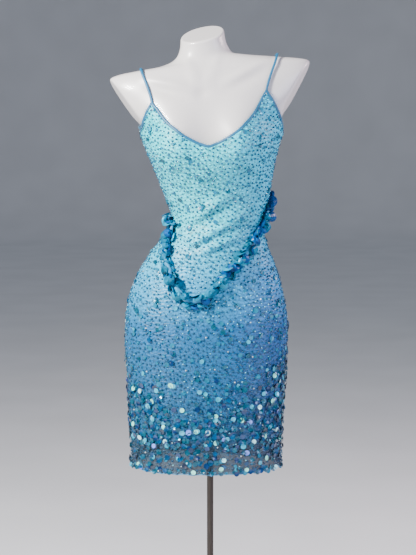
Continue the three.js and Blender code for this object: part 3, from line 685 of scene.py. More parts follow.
class Shading(Graph):
    """The nodes of one material, with the patterns that several finishes share."""

    noise_span: tuple[float, float] = (0.3, 0.7)

    def __init__(self, name: str, values: dict) -> None:
        """Makes the material and sets its shader's constants."""
        self.material = bpy.data.materials.new(name)
        self.material.use_nodes = True
        super().__init__(self.material.node_tree)
        self.shader = self.tree.nodes["Principled BSDF"]
        self.feed(self.shader, values)
        self.place = None

    def locate(self) -> NodeSocket:
        """The piece's own coordinates."""
        if self.place is None:
            self.place = self.add("ShaderNodeTexCoord")
        return self.place.outputs["Object"]

    def ranged(self, value: NodeSocket, source: tuple, target: tuple = (0.0, 1.0)) -> NodeSocket:
        """A value carried over from one range to another."""
        node = self.add("ShaderNodeMapRange", {
            "Value": value, "From Min": source[0], "From Max": source[1],
            "To Min": target[0], "To Max": target[1],
        })
        return node.outputs["Result"]

    def mottle(self, vector: NodeSocket, scale: float, detail: float, strength: float) -> NodeSocket:
        """Soft spots that are lighter or darker than 1 by a strength."""
        cloud = self.add("ShaderNodeTexNoise", {"Vector": vector, "Scale": scale, "Detail": detail})
        return self.ranged(cloud.outputs[0], self.noise_span, (1 - strength, 1 + strength))

    def ramp(self, value: NodeSocket, stops: list) -> NodeSocket:
        """The colour at a value between stops of a place and a colour."""
        node = self.add("ShaderNodeValToRGB", {"Fac": value})
        elements = node.color_ramp.elements
        while len(elements) < len(stops):
            elements.new(0.5)
        for element, (place, color) in zip(elements, stops):
            element.position = place
            element.color = (*color, 1)
        return node.outputs["Color"]


@dataclass(frozen=True)
class Finish:
    """A finish of small sewn things, metal and trims, whose colour may be broken up by fine mottling."""

    name: str
    color: tuple[float, float, float]
    roughness: float = 0.3
    metallic: float = 0.0
    coat: float = 0.0
    film_nm: float = 0.0
    alpha: float = 1.0
    sheen: float = 0.0
    specular: float = 0.5
    mottle: float = 0.0
    grain_mm: float = 9.0
    stretch: tuple[float, float, float] = (1, 1, 1)
    coat_roughness: float = 0.08
    film_ior: float = 1.45

    def make(self) -> Material:
        """Builds the material."""
        graph = Shading(self.name, {
            "Base Color": (*self.color, 1), "Roughness": self.roughness, "Metallic": self.metallic,
            "Coat Weight": self.coat, "Coat Roughness": self.coat_roughness, "Alpha": self.alpha,
            "Sheen Weight": self.sheen, "Specular IOR Level": self.specular,
            "Thin Film Thickness": self.film_nm, "Thin Film IOR": self.film_ior,
        })
        graph.material.diffuse_color = (*self.color, 1)
        if self.mottle:
            grain = graph.add("ShaderNodeMapping", {"Vector": graph.locate(), "Scale": self.stretch})
            shade = graph.mottle(grain.outputs["Vector"], 1 / (self.grain_mm * MM), 1.0, self.mottle)
            tone = graph.add("ShaderNodeVectorMath", {0: self.color, "Scale": shade}, operation="SCALE")
            graph.feed(graph.shader, {"Base Color": tone.outputs["Vector"]})
        return graph.material


@dataclass(frozen=True)
class ColorStop:
    """A colour at a height in metres."""

    z: float
    color: tuple[float, float, float]


@dataclass(frozen=True)
class ClothFinish:
    """Cloth whose colour deepens towards the hem, partly as dye and partly as painted shade, with a fine
    knitted grain.

    The colour follows the height on the piece, broken up by soft mottling, and may take a bluer tint from
    left
    to right over a span across, in metres: painted shade on the right side, away from the light. The bump is
    a fine mesh.
    """

    name: str
    stops: tuple[ColorStop, ...]
    roughness: float
    sheen: float
    mottle: float
    grain_mm: float
    grain_depth: float
    alpha: float = 1.0
    coat: float = 0.0
    knot_contrast: float = 0.0
    ripple_mm: float = 0.0
    painted_shade_tint: tuple[float, float, float] = (1.0, 1.0, 1.0)
    painted_shade_span: tuple[float, float] = (10.0 * MM, 120.0 * MM)
    cloud_scale: float = 46.0
    cloud_detail: float = 3.0
    knot_span: tuple[float, float] = (0.32, 0.7)
    bump_strength: float = 0.7
    ripple_depth: float = -1.1

    def make(self) -> Material:
        """Builds the material."""
        graph = Shading(self.name, {
            "Roughness": self.roughness, "Sheen Weight": self.sheen, "Alpha": self.alpha,
            "Coat Weight": self.coat,
        })
        place = graph.locate()
        split = graph.add("ShaderNodeSeparateXYZ", {0: place})
        low, high = self.stops[0].z, self.stops[-1].z
        height = graph.ranged(split.outputs["Z"], (low, high))
        color = graph.ramp(height, [((stop.z - low) / (high - low), stop.color) for stop in self.stops])
        shade = graph.mottle(place, self.cloud_scale, self.cloud_detail, self.mottle)
        knots = graph.add(
            "ShaderNodeTexVoronoi", {"Vector": place, "Scale": 1 / (self.grain_mm * MM)}, feature="SMOOTH_F1"
        ).outputs["Distance"]
        # The net's knotted pattern, partly painted light: each knot is lighter in its middle as a painted
        # highlight and darker at its edge as painted shade.
        if self.knot_contrast:
            light = graph.ranged(knots, self.knot_span, (1, 1 - self.knot_contrast))
            shade = graph.add("ShaderNodeMath", {0: light, 1: shade}, operation="MULTIPLY").outputs["Value"]
        tone = graph.add("ShaderNodeVectorMath", {0: color, "Scale": shade}, operation="SCALE")
        # Painted shade: the colour takes a bluer tint towards the right side, away from the light.
        painted_shade_ramp = graph.ramp(
            graph.ranged(split.outputs["X"], self.painted_shade_span), [(0, (1, 1, 1)), (1, self.painted_shade_tint)]
        )
        tinted = graph.add("ShaderNodeVectorMath", {0: tone.outputs["Vector"], 1: painted_shade_ramp}, operation="MULTIPLY")
        bump = graph.add("ShaderNodeBump", {
            "Strength": self.bump_strength, "Distance": self.grain_depth * MM,
            "Height": self.rippled(graph, knots) if self.ripple_mm else knots,
        }, invert=True)
        graph.feed(graph.shader, {"Base Color": tinted.outputs["Vector"], "Normal": bump.outputs["Normal"]})
        return graph.material

    def rippled(self, graph: Shading, relief: NodeSocket) -> NodeSocket:
        """Adds fine crosswise puckers of crinkled net to a relief."""
        waves = graph.add("ShaderNodeTexWave", {
            "Vector": graph.locate(), "Scale": 0.31 / (self.ripple_mm * MM), "Distortion": 7.0,
            "Detail": 2.0, "Detail Scale": 1.4,
        }, wave_type="BANDS", bands_direction="Z")
        inputs = {0: waves.outputs["Fac"], 1: self.ripple_depth, 2: relief}
        return graph.add("ShaderNodeMath", inputs, operation="MULTIPLY_ADD").outputs["Value"]


# Lighter towards the top and darker towards the hem, partly ombre dye and partly painted light and shade. The
# two lowest stops paint the sheer band at the hem dark, as if seen against shade behind it, and the tint on
# the right is painted shade.
NET_CLOTH = ClothFinish(
    "beaded net",
    (
        ColorStop(0.50, (0.01, 0.045, 0.085)), ColorStop(0.556, (0.012, 0.06, 0.11)),
        ColorStop(0.575, (0.005, 0.115, 0.27)), ColorStop(0.80, (0.01, 0.20, 0.47)),
        ColorStop(0.90, (0.04, 0.54, 0.90)), ColorStop(1.02, (0.03, 0.86, 1.0)),
        ColorStop(1.25, (0.03, 0.90, 1.0)),
    ),
    roughness=0.42, sheen=0.05, mottle=0.10, grain_mm=3.7, grain_depth=0.8, alpha=0.66,
    knot_contrast=0.55, ripple_mm=7.5, painted_shade_tint=(1.0, 0.80, 1.0),
)
# Darker towards its hem, partly ombre dye and partly painted shade, with the painted shade tint on the right
# side.
LINING_CLOTH = ClothFinish(
    "slip lining",
    (
        ColorStop(0.55, (0.01, 0.17, 0.41)), ColorStop(0.74, (0.02, 0.24, 0.56)),
        ColorStop(0.85, (0.07, 0.54, 0.93)), ColorStop(0.97, (0.14, 0.94, 1.0)),
        ColorStop(1.25, (0.16, 0.98, 1.0)),
    ),
    roughness=0.36, sheen=0.05, mottle=0.04, grain_mm=0.8, grain_depth=0.05, coat=0.1,
    painted_shade_tint=(1.0, 0.80, 1.0),
)
FORM_SHELL = ClothFinish(
    "white form shell",
    (ColorStop(0.55, (0.62, 0.595, 0.59)), ColorStop(1.45, (0.645, 0.615, 0.608))),
    roughness=0.34, sheen=0.0, mottle=0.01, grain_mm=2.5, grain_depth=0.01, coat=0.15,
)
BINDING_SATIN = ClothFinish(
    "blue satin binding",
    (
        ColorStop(0.49, (0.05, 0.24, 0.42)), ColorStop(1.2, (0.0, 0.105, 0.22)),
        ColorStop(1.4, (0.0, 0.12, 0.25)),
    ),
    roughness=0.5, sheen=0.03, mottle=0.12, grain_mm=1.0, grain_depth=0.15,
)
# Painted reflection: the metal is near black, standing for the dark room that it would reflect.
POLISHED = Finish(
    "polished dark metal", (0.055, 0.047, 0.042), 0.14, 1.0, mottle=0.2, grain_mm=1.2, stretch=(1, 1, 0.05)
)
POWDER_COAT = Finish("satin black base", (0.025, 0.025, 0.027), 0.38, coat=0.3, mottle=0.25, grain_mm=0.8)
THREAD = Finish("blue sewing thread", (0.02, 0.30, 0.48), 0.6, sheen=0.4, mottle=0.3, grain_mm=2.0)

SKY_BEAD = Finish("sky blue bead", (0.0, 0.085, 0.18), 0.25, 0.0, 0.2, specular=0.35)
TEAL_BEAD = Finish("dark teal bead", (0.0, 0.05, 0.11), 0.25, 0.0, 0.3, specular=0.4)
AQUA_BEAD = Finish("aqua bead", (0.26, 0.85, 1.0), 0.16, 0.1, 0.8)
CRYSTAL = Finish("clear crystal", (0.86, 0.95, 0.97), 0.05, 0.5, 1.0, 420)
CERULEAN = Finish("cerulean sequin", (0.0, 0.15, 0.26), 0.3, 0.0, 0.1, specular=0.3, mottle=0.25)


@dataclass(frozen=True)
class SequinTone:
    """A sequin's finish and how far apart its sequins lie where they are densest, in millimetres."""

    finish: Finish
    spacing: float


def sequin(name: str, color: tuple, spacing: float, coat: float = 0.5, **look: float) -> SequinTone:
    """A cupped sequin's tone, told by what differs from the usual sequin."""
    usual = {"roughness": 0.2, "metallic": 0.25}
    return SequinTone(Finish(f"{name} sequin", color, coat=coat, **{**usual, **look}), spacing)


def paillette(name: str, color: tuple, spacing: float, **look: float) -> SequinTone:
    """A tone of the large holed discs."""
    return SequinTone(Finish(f"{name} paillette", color, **look), spacing)


SHOWER = (
    sequin("teal", (0.0, 0.10, 0.165), 17, specular=0.25, alpha=0.78, mottle=0.35),
    sequin("blue", (0.0, 0.08, 0.22), 18, specular=0.25, alpha=0.78, mottle=0.35),
    sequin("steel blue", (0.0, 0.09, 0.17), 20, roughness=0.22, specular=0.25, alpha=0.7, mottle=0.3),
    sequin("navy", (0.0, 0.03, 0.12), 22, 0.6, mottle=0.3),
    sequin(
        "slate", (0.03, 0.055, 0.11), 32, 0.4, roughness=0.24, film_nm=330, specular=0.25, alpha=0.72,
        mottle=0.3,
    ),
    sequin("aqua", (0.02, 0.42, 0.62), 36, 0.6, mottle=0.25),
    sequin("mint", (0.28, 0.92, 0.78), 46, 0.7, metallic=0.2, mottle=0.15),
    sequin("lilac", (0.20, 0.30, 0.92), 52, 0.7, metallic=0.2, mottle=0.2),
    sequin("pearl", (0.46, 0.92, 1.0), 58, 0.7, metallic=0.2, mottle=0.1),
)
PAILLETTES = (
    paillette("cyan", (0.0, 0.185, 0.335), 11.5, roughness=0.3, coat=0.06, specular=0.1, mottle=0.25),
    paillette("azure", (0.0, 0.085, 0.29), 14.5, roughness=0.3, coat=0.08, specular=0.15, mottle=0.3),
    paillette("teal", (0.0, 0.14, 0.24), 17.0, roughness=0.24, coat=0.12, specular=0.2, mottle=0.3),
    paillette("pale aqua", (0.0, 0.34, 0.54), 29.0, roughness=0.26, coat=0.1, specular=0.2, mottle=0.2),
)


def ride_and_slot(piece: Object, slot: str, *nodes: str) -> Object:
    """Puts a piece on the one body and hides the solids that it stands for."""
    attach(piece, BODY)
    if nodes:
        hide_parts(*nodes)
    log.info("%s: %d faces", piece.name, len(piece.data.polygons))
    return piece


@dataclass
class Panels:
    """The lining and the net as thin shells, each on its solid's form."""

    skirt_steps: int = 96
    bodice_steps: int = 72
    lining_steps: int = 110
    flats: dict = field(default_factory=lambda: {
        "skirt_front": (0.47, 0.56, 0.20), "skirt_back": (0.48, 0.56, 0.23),
        "bodice_front": (0.40, 0.42, 0.10), "bodice_back": (0.33, 0.21, 0.055),
        "lining_front": (0.46, 0.73, 0.26), "lining_back": (0.47, 0.68, 0.25),
    })

    def build(self) -> dict[str, Object]:
        """Makes the six panels and returns them by their solids' names."""
        net, lining = NET_CLOTH.make(), LINING_CLOTH.make()
        pieces = {}
        for panel in (FRONT, BACK):
            side = panel.side.value
            rows = {
                "skirt": CLOTH.skirt_rows(panel, self.skirt_steps),
                "bodice": CLOTH.bodice_rows(panel, self.bodice_steps),
                "lining": CLOTH.lining_rows(panel, self.lining_steps),
            }
            for part, grid_rows in rows.items():
                layer, material = (LINING, lining) if part == "lining" else (NET, net)
                outer = CLOTH.grid(panel, grid_rows, layer.outer, layer.ease)
                inner = CLOTH.grid(panel, grid_rows, layer.inner, layer.ease)
                node = f"{part}_{side}"
                piece = new_object(f"{node}_cloth", wall_mesh(node, outer, inner), material)
                ride_and_slot(piece, "lining" if part == "lining" else "net", node)
                pieces[node] = piece
        return pieces


@dataclass
class Form:
    """The smooth limbless form, with slanted cuts at its neck and shoulders. Millimetres and degrees.

    Each arm's cut has its plane's upper end, a place near its lower end, and how far aside the flank stays
    whole with the armpit's height, below which nothing is cut. Faces over flat_from square millimetres are
    the closed ends, which are shaded flat.
    """

    columns: int = 160
    rows: int = 220
    floor_mm: float = 580
    rim_mm: float = 9
    arm_cuts: tuple = (
        ((-208, 1306), (-144.5, 1210), (-141.5, 1192)),
        ((206, 1342), (150, 1233), (150, 1196)),
    )
    arm_yaw: float = 10
    arm_lip: float = 7.0
    neck_cut: tuple = (-18, 1401)
    neck_rise: tuple = (12, 20)
    neck_lip: float = 4.0
    lip_steps: tuple = (0, 0.06, 0.2, 0.45, 1)
    flat_from: float = 500
    relief_fade: float = 20

    def cut_arm(self, points: np.ndarray, outer: tuple, inner: tuple, flank: tuple) -> np.ndarray:
        """Presses the stub of an arm flat where it is cut, with a rounded rim.

        Args:
            points: places on the skin.
            outer: the cut plane's upper end, seen from the front.
            inner: a place near its lower end.
            flank: how far aside the flank stays whole, and the armpit's height.

        Returns:
            The places, with those beyond the plane and outside the flank pressed onto them.
        """
        side = math.copysign(1, outer[0])
        slope = math.atan2(outer[0] - inner[0], outer[1] - inner[1])
        yaw = math.radians(-side * self.arm_yaw)
        flat = side * math.cos(slope)
        normal = np.array([flat * math.cos(yaw), flat * math.sin(yaw), -side * math.sin(slope)])
        aside = np.array([side, 0.0, 0.0])
        middle = np.array([(outer[0] + inner[0]) / 2, 0, (outer[1] + inner[1]) / 2])
        beyond = (points - middle) @ normal
        outside = (points - [flank[0], 0, 0]) @ aside
        share = smooth_step(-self.arm_lip, self.arm_lip, outside - beyond)
        near = share * beyond + (1 - share) * outside
        near -= self.arm_lip * share * (1 - share)
        pressed = 0.5 * (near + np.sqrt(near**2 + self.arm_lip**2)) * (points[..., 2] > flank[1])
        pressed = np.where(near < -2 * self.arm_lip, 0, pressed)
        return points - pressed[..., None] * (share[..., None] * normal + (1 - share[..., None]) * aside)

    def cut_neck(self, shell: bmesh.types.BMesh) -> None:
        """Cuts the neck at its slanted plane, closes it, and rounds the rim over."""
        lip = self.neck_lip * MM
        place = Vector((self.neck_cut[0], 0, self.neck_cut[1])) * MM
        normal = Vector((0, 0, 1))
        normal.rotate(Matrix.Rotation(math.radians(self.neck_rise[1]), 3, "X"))
        normal.rotate(Matrix.Rotation(math.radians(-self.neck_rise[0]), 3, "Y"))
        for share in self.lip_steps:
            geometry = shell.verts[:] + shell.edges[:] + shell.faces[:]
            found = bmesh.ops.bisect_plane(
                shell, geom=geometry, dist=1e-6, plane_co=place - normal * lip * share, plane_no=normal,
                clear_outer=share == 0,
            )
            if share == 0:
                loop = [item for item in found["geom_cut"] if isinstance(item, bmesh.types.BMEdge)]
                bmesh.ops.contextual_create(shell, geom=loop)
        bmesh.ops.recalc_face_normals(shell, faces=shell.faces)
        shell.normal_update()
        moves = []
        for vertex in shell.verts:
            depth = (place - vertex.co).dot(normal)
            if depth < lip:
                out = vertex.normal - normal * vertex.normal.dot(normal)
                inset = lip - math.sqrt(max(0, lip**2 - (lip - depth) ** 2))
                moves.append((vertex, out.normalized() * inset))
        for vertex, move in moves:
            vertex.co -= move

    def build(self) -> Object:
        """Makes the shell: rings from its floor to above the neck, with its arms and its neck cut off."""
        turn = np.linspace(0, 360, self.columns, endpoint=False)[:, None]
        foot = FIGURE.locate(0, self.floor_mm, Side.FRONT)[1]
        rows = foot + (ROW["neck end"] - foot) * np.linspace(0, 1, self.rows)[None, :]
        points = FIGURE.point(turn + 0 * rows, rows)
        rim = np.clip(1 - (points[..., 2] - self.floor_mm) / self.rim_mm, 0, 1)
        inset = self.rim_mm * (1 - np.sqrt(np.clip(1 - rim**2, 0, 1)))
        front = np.clip(-points[..., 1] / self.relief_fade, 0, 1)
        relief = front * sum(c.at(points[..., 0], points[..., 2]) for c in FORM_RELIEF)
        points += FIGURE.normal(turn + 0 * rows, rows) * (relief - inset)[..., None]
        for cut in self.arm_cuts:
            points = self.cut_arm(points, *cut)
        faces = grid_faces(self.columns, self.rows, closed=True)
        last = self.rows - 1
        faces.append(tuple(i * self.rows for i in range(self.columns)))
        faces.append(tuple(i * self.rows + last for i in range(self.columns - 1, -1, -1)))
        mesh = mesh_from("form", points, faces)
        with editing(mesh) as shell:
            self.cut_neck(shell)
            bmesh.ops.recalc_face_normals(shell, faces=shell.faces)
            for face in shell.faces:
                face.smooth = face.calc_area() < self.flat_from * MM**2
        piece = new_object("form_shell", mesh, FORM_SHELL.make())
        return ride_and_slot(piece, "form", "form_torso")

    def dress_stand(self, frame: dict) -> None:
        """Gives the pole, collar, socket and base their finishes."""
        polished, coated = POLISHED.make(), POWDER_COAT.make()
        for node, material in {
            "stand_pole": polished, "stand_collar": polished, "form_socket": polished, "stand_base": coated
        }.items():
            mesh = frame["nodes"][node].data
            mesh.materials.clear()
            mesh.materials.append(material)


@dataclass
class Trims:
    """Bindings, straps and hem rolls, as fine tubes along the cloth's edges. Millimetres."""

    binding_width: float = 6.5
    binding_thickness: float = 3.4
    binding_lift: float = 3.4
    binding_clear: float = -1.0
    binding_taper: float = 18.0
    strap_width: float = 5.3
    strap_thickness: float = 3.0
    strap_lift: float = 2.1
    foot_lift: float = 1.2
    bend: float = 1.25
    loop: float = 4.0
    bow: float = 3.5
    overlap: float = 5.0
    roll: float = 2.6
    half_steps: int = 60
    samples: int = 160
    hem_samples: int = 300
    hem_sides: int = 8
    binding_step: float = 2.2
    strap_step: float = 2.5
    sides: int = 12
    end_share: float = 0.15

    def binding(self, name: str, lines: tuple[EdgeLine, ...], material: Material) -> Object:
        """A satin rouleau folded over a raw edge."""
        parts = [CLOTH.along(line, self.binding_lift, self.samples) for line in lines]
        points, normals = (
            np.concatenate([parts[0][k], *[part[k][1:] for part in parts[1:]]]) for k in (0, 1)
        )
        lengths = run_lengths(points)
        taper = smooth_step(0, self.binding_taper, np.minimum(lengths, lengths[-1] - lengths))
        share = self.end_share + (1 - self.end_share) * taper
        reach = (self.binding_width / 2 + self.binding_clear) * share
        points = points - crosswise(points, normals) * reach[:, None]
        path, out = even_path(points, normals, self.binding_step, (0, 0))
        swell = 1 + 0.04 * np.sin(np.arange(len(path)) * 1.7)
        shape = oval(self.binding_width, self.binding_thickness, self.sides)[None] * swell[:, None, None]
        piece = new_object(f"{name}_satin", tube_mesh(name, path, out, shape), material)
        return ride_and_slot(piece, "binding", name)

    def crest_row(self, x: float) -> float:
        """The row where the shoulder's side line passes a distance across, on its way up to the neck."""
        column = 0 if x < 0 else 2
        return crossing(
            float(ROW["shoulder tip"]), float(ROW["neck base"]),
            lambda row: abs(FIGURE.columns(np.array(row))[column]) > abs(x),
        )

    def strap(
        self, name: str, front: tuple, back: tuple, crest_x: float, loop: float, material: Material
    ) -> Object:
        """A strap from the front point over the shoulder to the back point.

        Args:
            name: the solid that it stands for.
            front: x and z of its front foot.
            back: x and z of its back foot.
            crest_x: where it crosses the top of the shoulder.
            loop: how far it stands off the shoulder's top.
            material: its finish.
        """
        crest = self.crest_row(crest_x)
        k = np.arange(2 * self.half_steps + 1)
        rising = k <= self.half_steps
        u = np.where(rising, k, 2 * self.half_steps - k) / self.half_steps
        ease = np.sin(u * math.pi / 2)
        start, end = FIGURE.locate(*front, Side.FRONT)[1], FIGURE.locate(*back, Side.BACK)[1]
        foot = np.where(rising, start, end)
        foot_x = np.where(rising, front[0], back[0])
        row = foot + (crest - foot) * ease
        level = FIGURE.height(row, foot_x + (crest_x - foot_x) * ease)
        foot_level = FIGURE.height(foot, foot_x)
        top = FIGURE.height(crest, crest_x)
        climbed = np.clip((level - foot_level) / (top - foot_level), 0, 1)
        x = foot_x + (crest_x - foot_x) * climbed**self.bend
        ring = FIGURE.ring(row, 0)
        turn = ring_angle((ring["x"] - x) / ring["half"])
        angle = np.where(rising, turn, 360 - turn)
        normal = FIGURE.normal(angle, row)
        lift = self.strap_lift + self.foot_lift * (1 - ease) + loop * np.maximum(0, 4 * ease - 3)
        lift += self.bow * np.sin(math.pi * u) ** 2
        points = FIGURE.point(angle, row) + normal * lift[:, None]
        for end, inner in ((0, 1), (-1, -2)):
            run = points[end] - points[inner]
            points[end] += run / np.linalg.norm(run) * self.overlap
        path, out = even_path(points, normal, self.strap_step, (0, 0))
        mesh = tube_mesh(name, path, out, oval(self.strap_width, self.strap_thickness, self.sides))
        return ride_and_slot(new_object(f"{name}_satin", mesh, material), "binding", name)

    def hem_roll(self, panel: Panel, material: Material) -> Object:
        """The rolled edge under the net's hem."""
        name = f"hem_roll_{panel.side.value}"
        angles = panel.angles()
        fine = np.interp(np.linspace(0, 1, self.hem_samples), np.linspace(0, 1, len(angles)), angles)
        points, normals = CLOTH.frame(fine, np.zeros_like(fine), (NET.inner + NET.outer) / 2, 1)
        points[:, 2] -= self.roll / 2 + SEAM_GAP
        points[[0, -1], 1] += SEAM_GAP / 2 * (-1 if panel.side is Side.FRONT else 1)
        normals[:, 2] = 0
        normals /= np.linalg.norm(normals, axis=1, keepdims=True)
        tube = tube_mesh(name, points, normals, oval(self.roll, self.roll, self.hem_sides))
        return ride_and_slot(new_object(f"{name}_edge", tube, material), "binding", name)

    def build(self) -> None:
        """Makes every trim but the swag."""
        satin = BINDING_SATIN.make()
        for panel in (FRONT, BACK):
            self.hem_roll(panel, satin)
        self.binding("neckline_binding", (FRONT_NECK,), satin)
        self.binding("back_neckline_binding", (BACK_NECK,), satin)
        self.binding("armhole_binding_left", (BACK_LEFT_ARMHOLE, LEFT_ARMHOLE), satin)
        self.binding("armhole_binding_right", (RIGHT_ARMHOLE, BACK_RIGHT_ARMHOLE), satin)
        self.strap("strap_left", (-117, 1258), (-106.5, 1215), -142, 0, satin)
        self.strap("strap_right", (113, 1284), (104, 1231), 138, self.loop, satin)


class Shape(Enum):
    """The small things that are sewn on."""

    BEAD = "bead"
    STITCH = "stitch"
    SEQUIN = "cupped sequin"
    PAILLETTE = "holed paillette"
    CRYSTAL = "faceted crystal"


class Haberdashery:
    """Makes one of each small shape, 1 metre across, as the pattern that is repeated on the cloth."""

    def __init__(self) -> None:
        """Builds each shape and keeps it out of sight."""
        makers = {
            Shape.BEAD: self.bead, Shape.STITCH: self.stitch, Shape.SEQUIN: self.sequin,
            Shape.PAILLETTE: self.paillette, Shape.CRYSTAL: self.crystal,
        }
        self.patterns = {shape: self.hidden(shape.value, maker()) for shape, maker in makers.items()}

    def hidden(self, name: str, mesh: Mesh) -> Object:
        """An object for a pattern mesh, which never shows itself."""
        pattern = new_object(name, mesh)
        pattern.hide_render = True
        pattern.hide_viewport = True
        return pattern

    def pebble(self, name: str, scale: tuple[float, float, float]) -> Mesh:
        """A smooth pebble of twenty faces, longer or flatter along its axes."""
        mesh = bpy.data.meshes.new(name)
        with editing(mesh) as shell:
            bmesh.ops.create_icosphere(shell, subdivisions=1, radius=0.5)
            bmesh.ops.scale(shell, vec=scale, verts=shell.verts)
        mesh.shade_smooth()
        return mesh

    def bead(self) -> Mesh:
        """A small bead, longer than wide and flatter than either."""
        return self.pebble("bead", (1.3, 0.92, 0.7))

    def stitch(self) -> Mesh:
        """A short stitch of thread along its X axis."""
        return self.pebble("stitch", (1.0, 0.28, 0.24))

    def crystal(self) -> Mesh:
        """A faceted stone with a flat top."""
        rings = ((0.5, 0.12, 8), (0.3, 0.42, 8))
        return self.turned("crystal", rings, low=0.0, high=0.42)

    def sequin(self) -> Mesh:
        """A thin cupped disc."""
        return self.turned("sequin", ((0.5, 0.10, 12),), low=-0.02, high=0.03)

    def turned(self, name: str, rings: tuple, low: float, high: float) -> Mesh:
        """A closed faceted shape of rings of radius, height and sides, with a point under and over them."""
        points = [(0, 0, low)]
        for radius, height, sides in rings:
            for s in range(sides):
                turn = 2 * math.pi * s / sides
                points.append((radius * math.cos(turn), radius * math.sin(turn), height))
        points.append((0, 0, high))
        sides = rings[0][2]
        faces = [(0, 1 + (s + 1) % sides, 1 + s) for s in range(sides)]
        for k in range(len(rings) - 1):
            faces += band_faces(1 + k * sides, 1 + (k + 1) * sides, sides)
        top = 1 + (len(rings) - 1) * sides
        faces += [(top + s, top + (s + 1) % sides, len(points) - 1) for s in range(sides)]
        return mesh_from(name, np.array(points) / MM, faces, smooth=False)

    def paillette(self) -> Mesh:
        """A large cupped disc, sewn at the origin through a hole off its middle."""
        sides = 14
        turn = 2 * math.pi * np.arange(sides) / sides
        ring = np.stack([np.cos(turn), np.sin(turn), np.zeros(sides)], -1)
        hole = ring * 0.05
        middle = ring * 0.3 + (0.14, 0, 0.0)
        rim = ring * 0.5 + (0.22, 0, 0.07)
        points = np.concatenate([hole + (0, 0, 0.02), middle + (0, 0, 0.015), rim, hole - (0, 0, 0.01)])
        faces = []
        for k in range(4):
            faces += band_faces(k * sides, (k + 1) % 4 * sides, sides)
        return mesh_from("paillette", points / MM, faces)


class Sewing(Graph):
    """A geometry node tree that sews one small shape on many places, with named inputs for its sizes."""

    def __init__(self, name: str, geometry: str, inputs: dict[str, str]) -> None:
        """Makes the tree with its inputs and its one output.

        Args:
            name: the tree's name.
            geometry: the label of its first input, what is sewn on.
            inputs: the kind of socket of each other input.
        """
        super().__init__(bpy.data.node_groups.new(name, "GeometryNodeTree"))
        self.name = name
        for label, kind in {geometry: "Geometry", **inputs}.items():
            self.tree.interface.new_socket(label, in_out="INPUT", socket_type=f"NodeSocket{kind}")
        self.tree.interface.new_socket("Sewn", in_out="OUTPUT", socket_type="NodeSocketGeometry")
        self.group = self.add("NodeGroupInput")

    def given(self, label: str) -> NodeSocket:
        """One of the tree's inputs."""
        return self.group.outputs[label]

    def stored(self, name: str, kind: str) -> NodeSocket:
        """What is stored on the points under a name."""
        node = self.add("GeometryNodeInputNamedAttribute", {"Name": name}, data_type=kind)
        return node.outputs["Attribute"]

    def random(self, low: str, high: str, seed: int, vector: bool = False) -> NodeSocket:
        """A random value for each point between two of the tree's inputs, from a fixed seed."""
        first, kind = (0, "FLOAT_VECTOR") if vector else (2, "FLOAT")
        inputs = {first: self.given(low), first + 1: self.given(high), "Seed": seed}
        node = self.add("FunctionNodeRandomValue", inputs, data_type=kind)
        return node.outputs[0 if vector else 1]

    def place(self, pattern: Object, material: Material, **places: NodeSocket) -> None:
        """Ends the tree: the pattern on each point, made real, in its material.

        Args:
            pattern: the shape to repeat.
            material: its finish.
            places: where it goes, by the input's name.
        """
        shape = self.add("GeometryNodeObjectInfo", {"Object": pattern})
        placed = self.add("GeometryNodeInstanceOnPoints", {"Instance": shape.outputs["Geometry"], **places})
        real = self.add("GeometryNodeRealizeInstances", {"Geometry": placed.outputs["Instances"]})
        finish = {"Geometry": real.outputs["Geometry"], "Material": material}
        dressed = self.add("GeometryNodeSetMaterial", finish)
        self.add("NodeGroupOutput", {"Sewn": dressed.outputs["Geometry"]})

    def result(self, holder: Object, values: dict) -> Mesh:
        """What the tree makes on an object, as a plain mesh; the tree is used up.

        Args:
            holder: the object whose mesh the tree takes.
            values: the tree's sizes by their inputs' names.
        """
        modifier = holder.modifiers.new(self.name, "NODES")
        modifier.node_group = self.tree
        for item in self.tree.interface.items_tree:
            if item.in_out == "INPUT" and item.name in values:
                modifier[item.identifier] = values[item.name]
        bpy.context.view_layer.update()
        evaluated = holder.evaluated_get(bpy.context.evaluated_depsgraph_get())
        mesh = bpy.data.meshes.new_from_object(evaluated)
        mesh.name = self.name
        holder.modifiers.remove(modifier)
        bpy.data.node_groups.remove(self.tree)
        return mesh


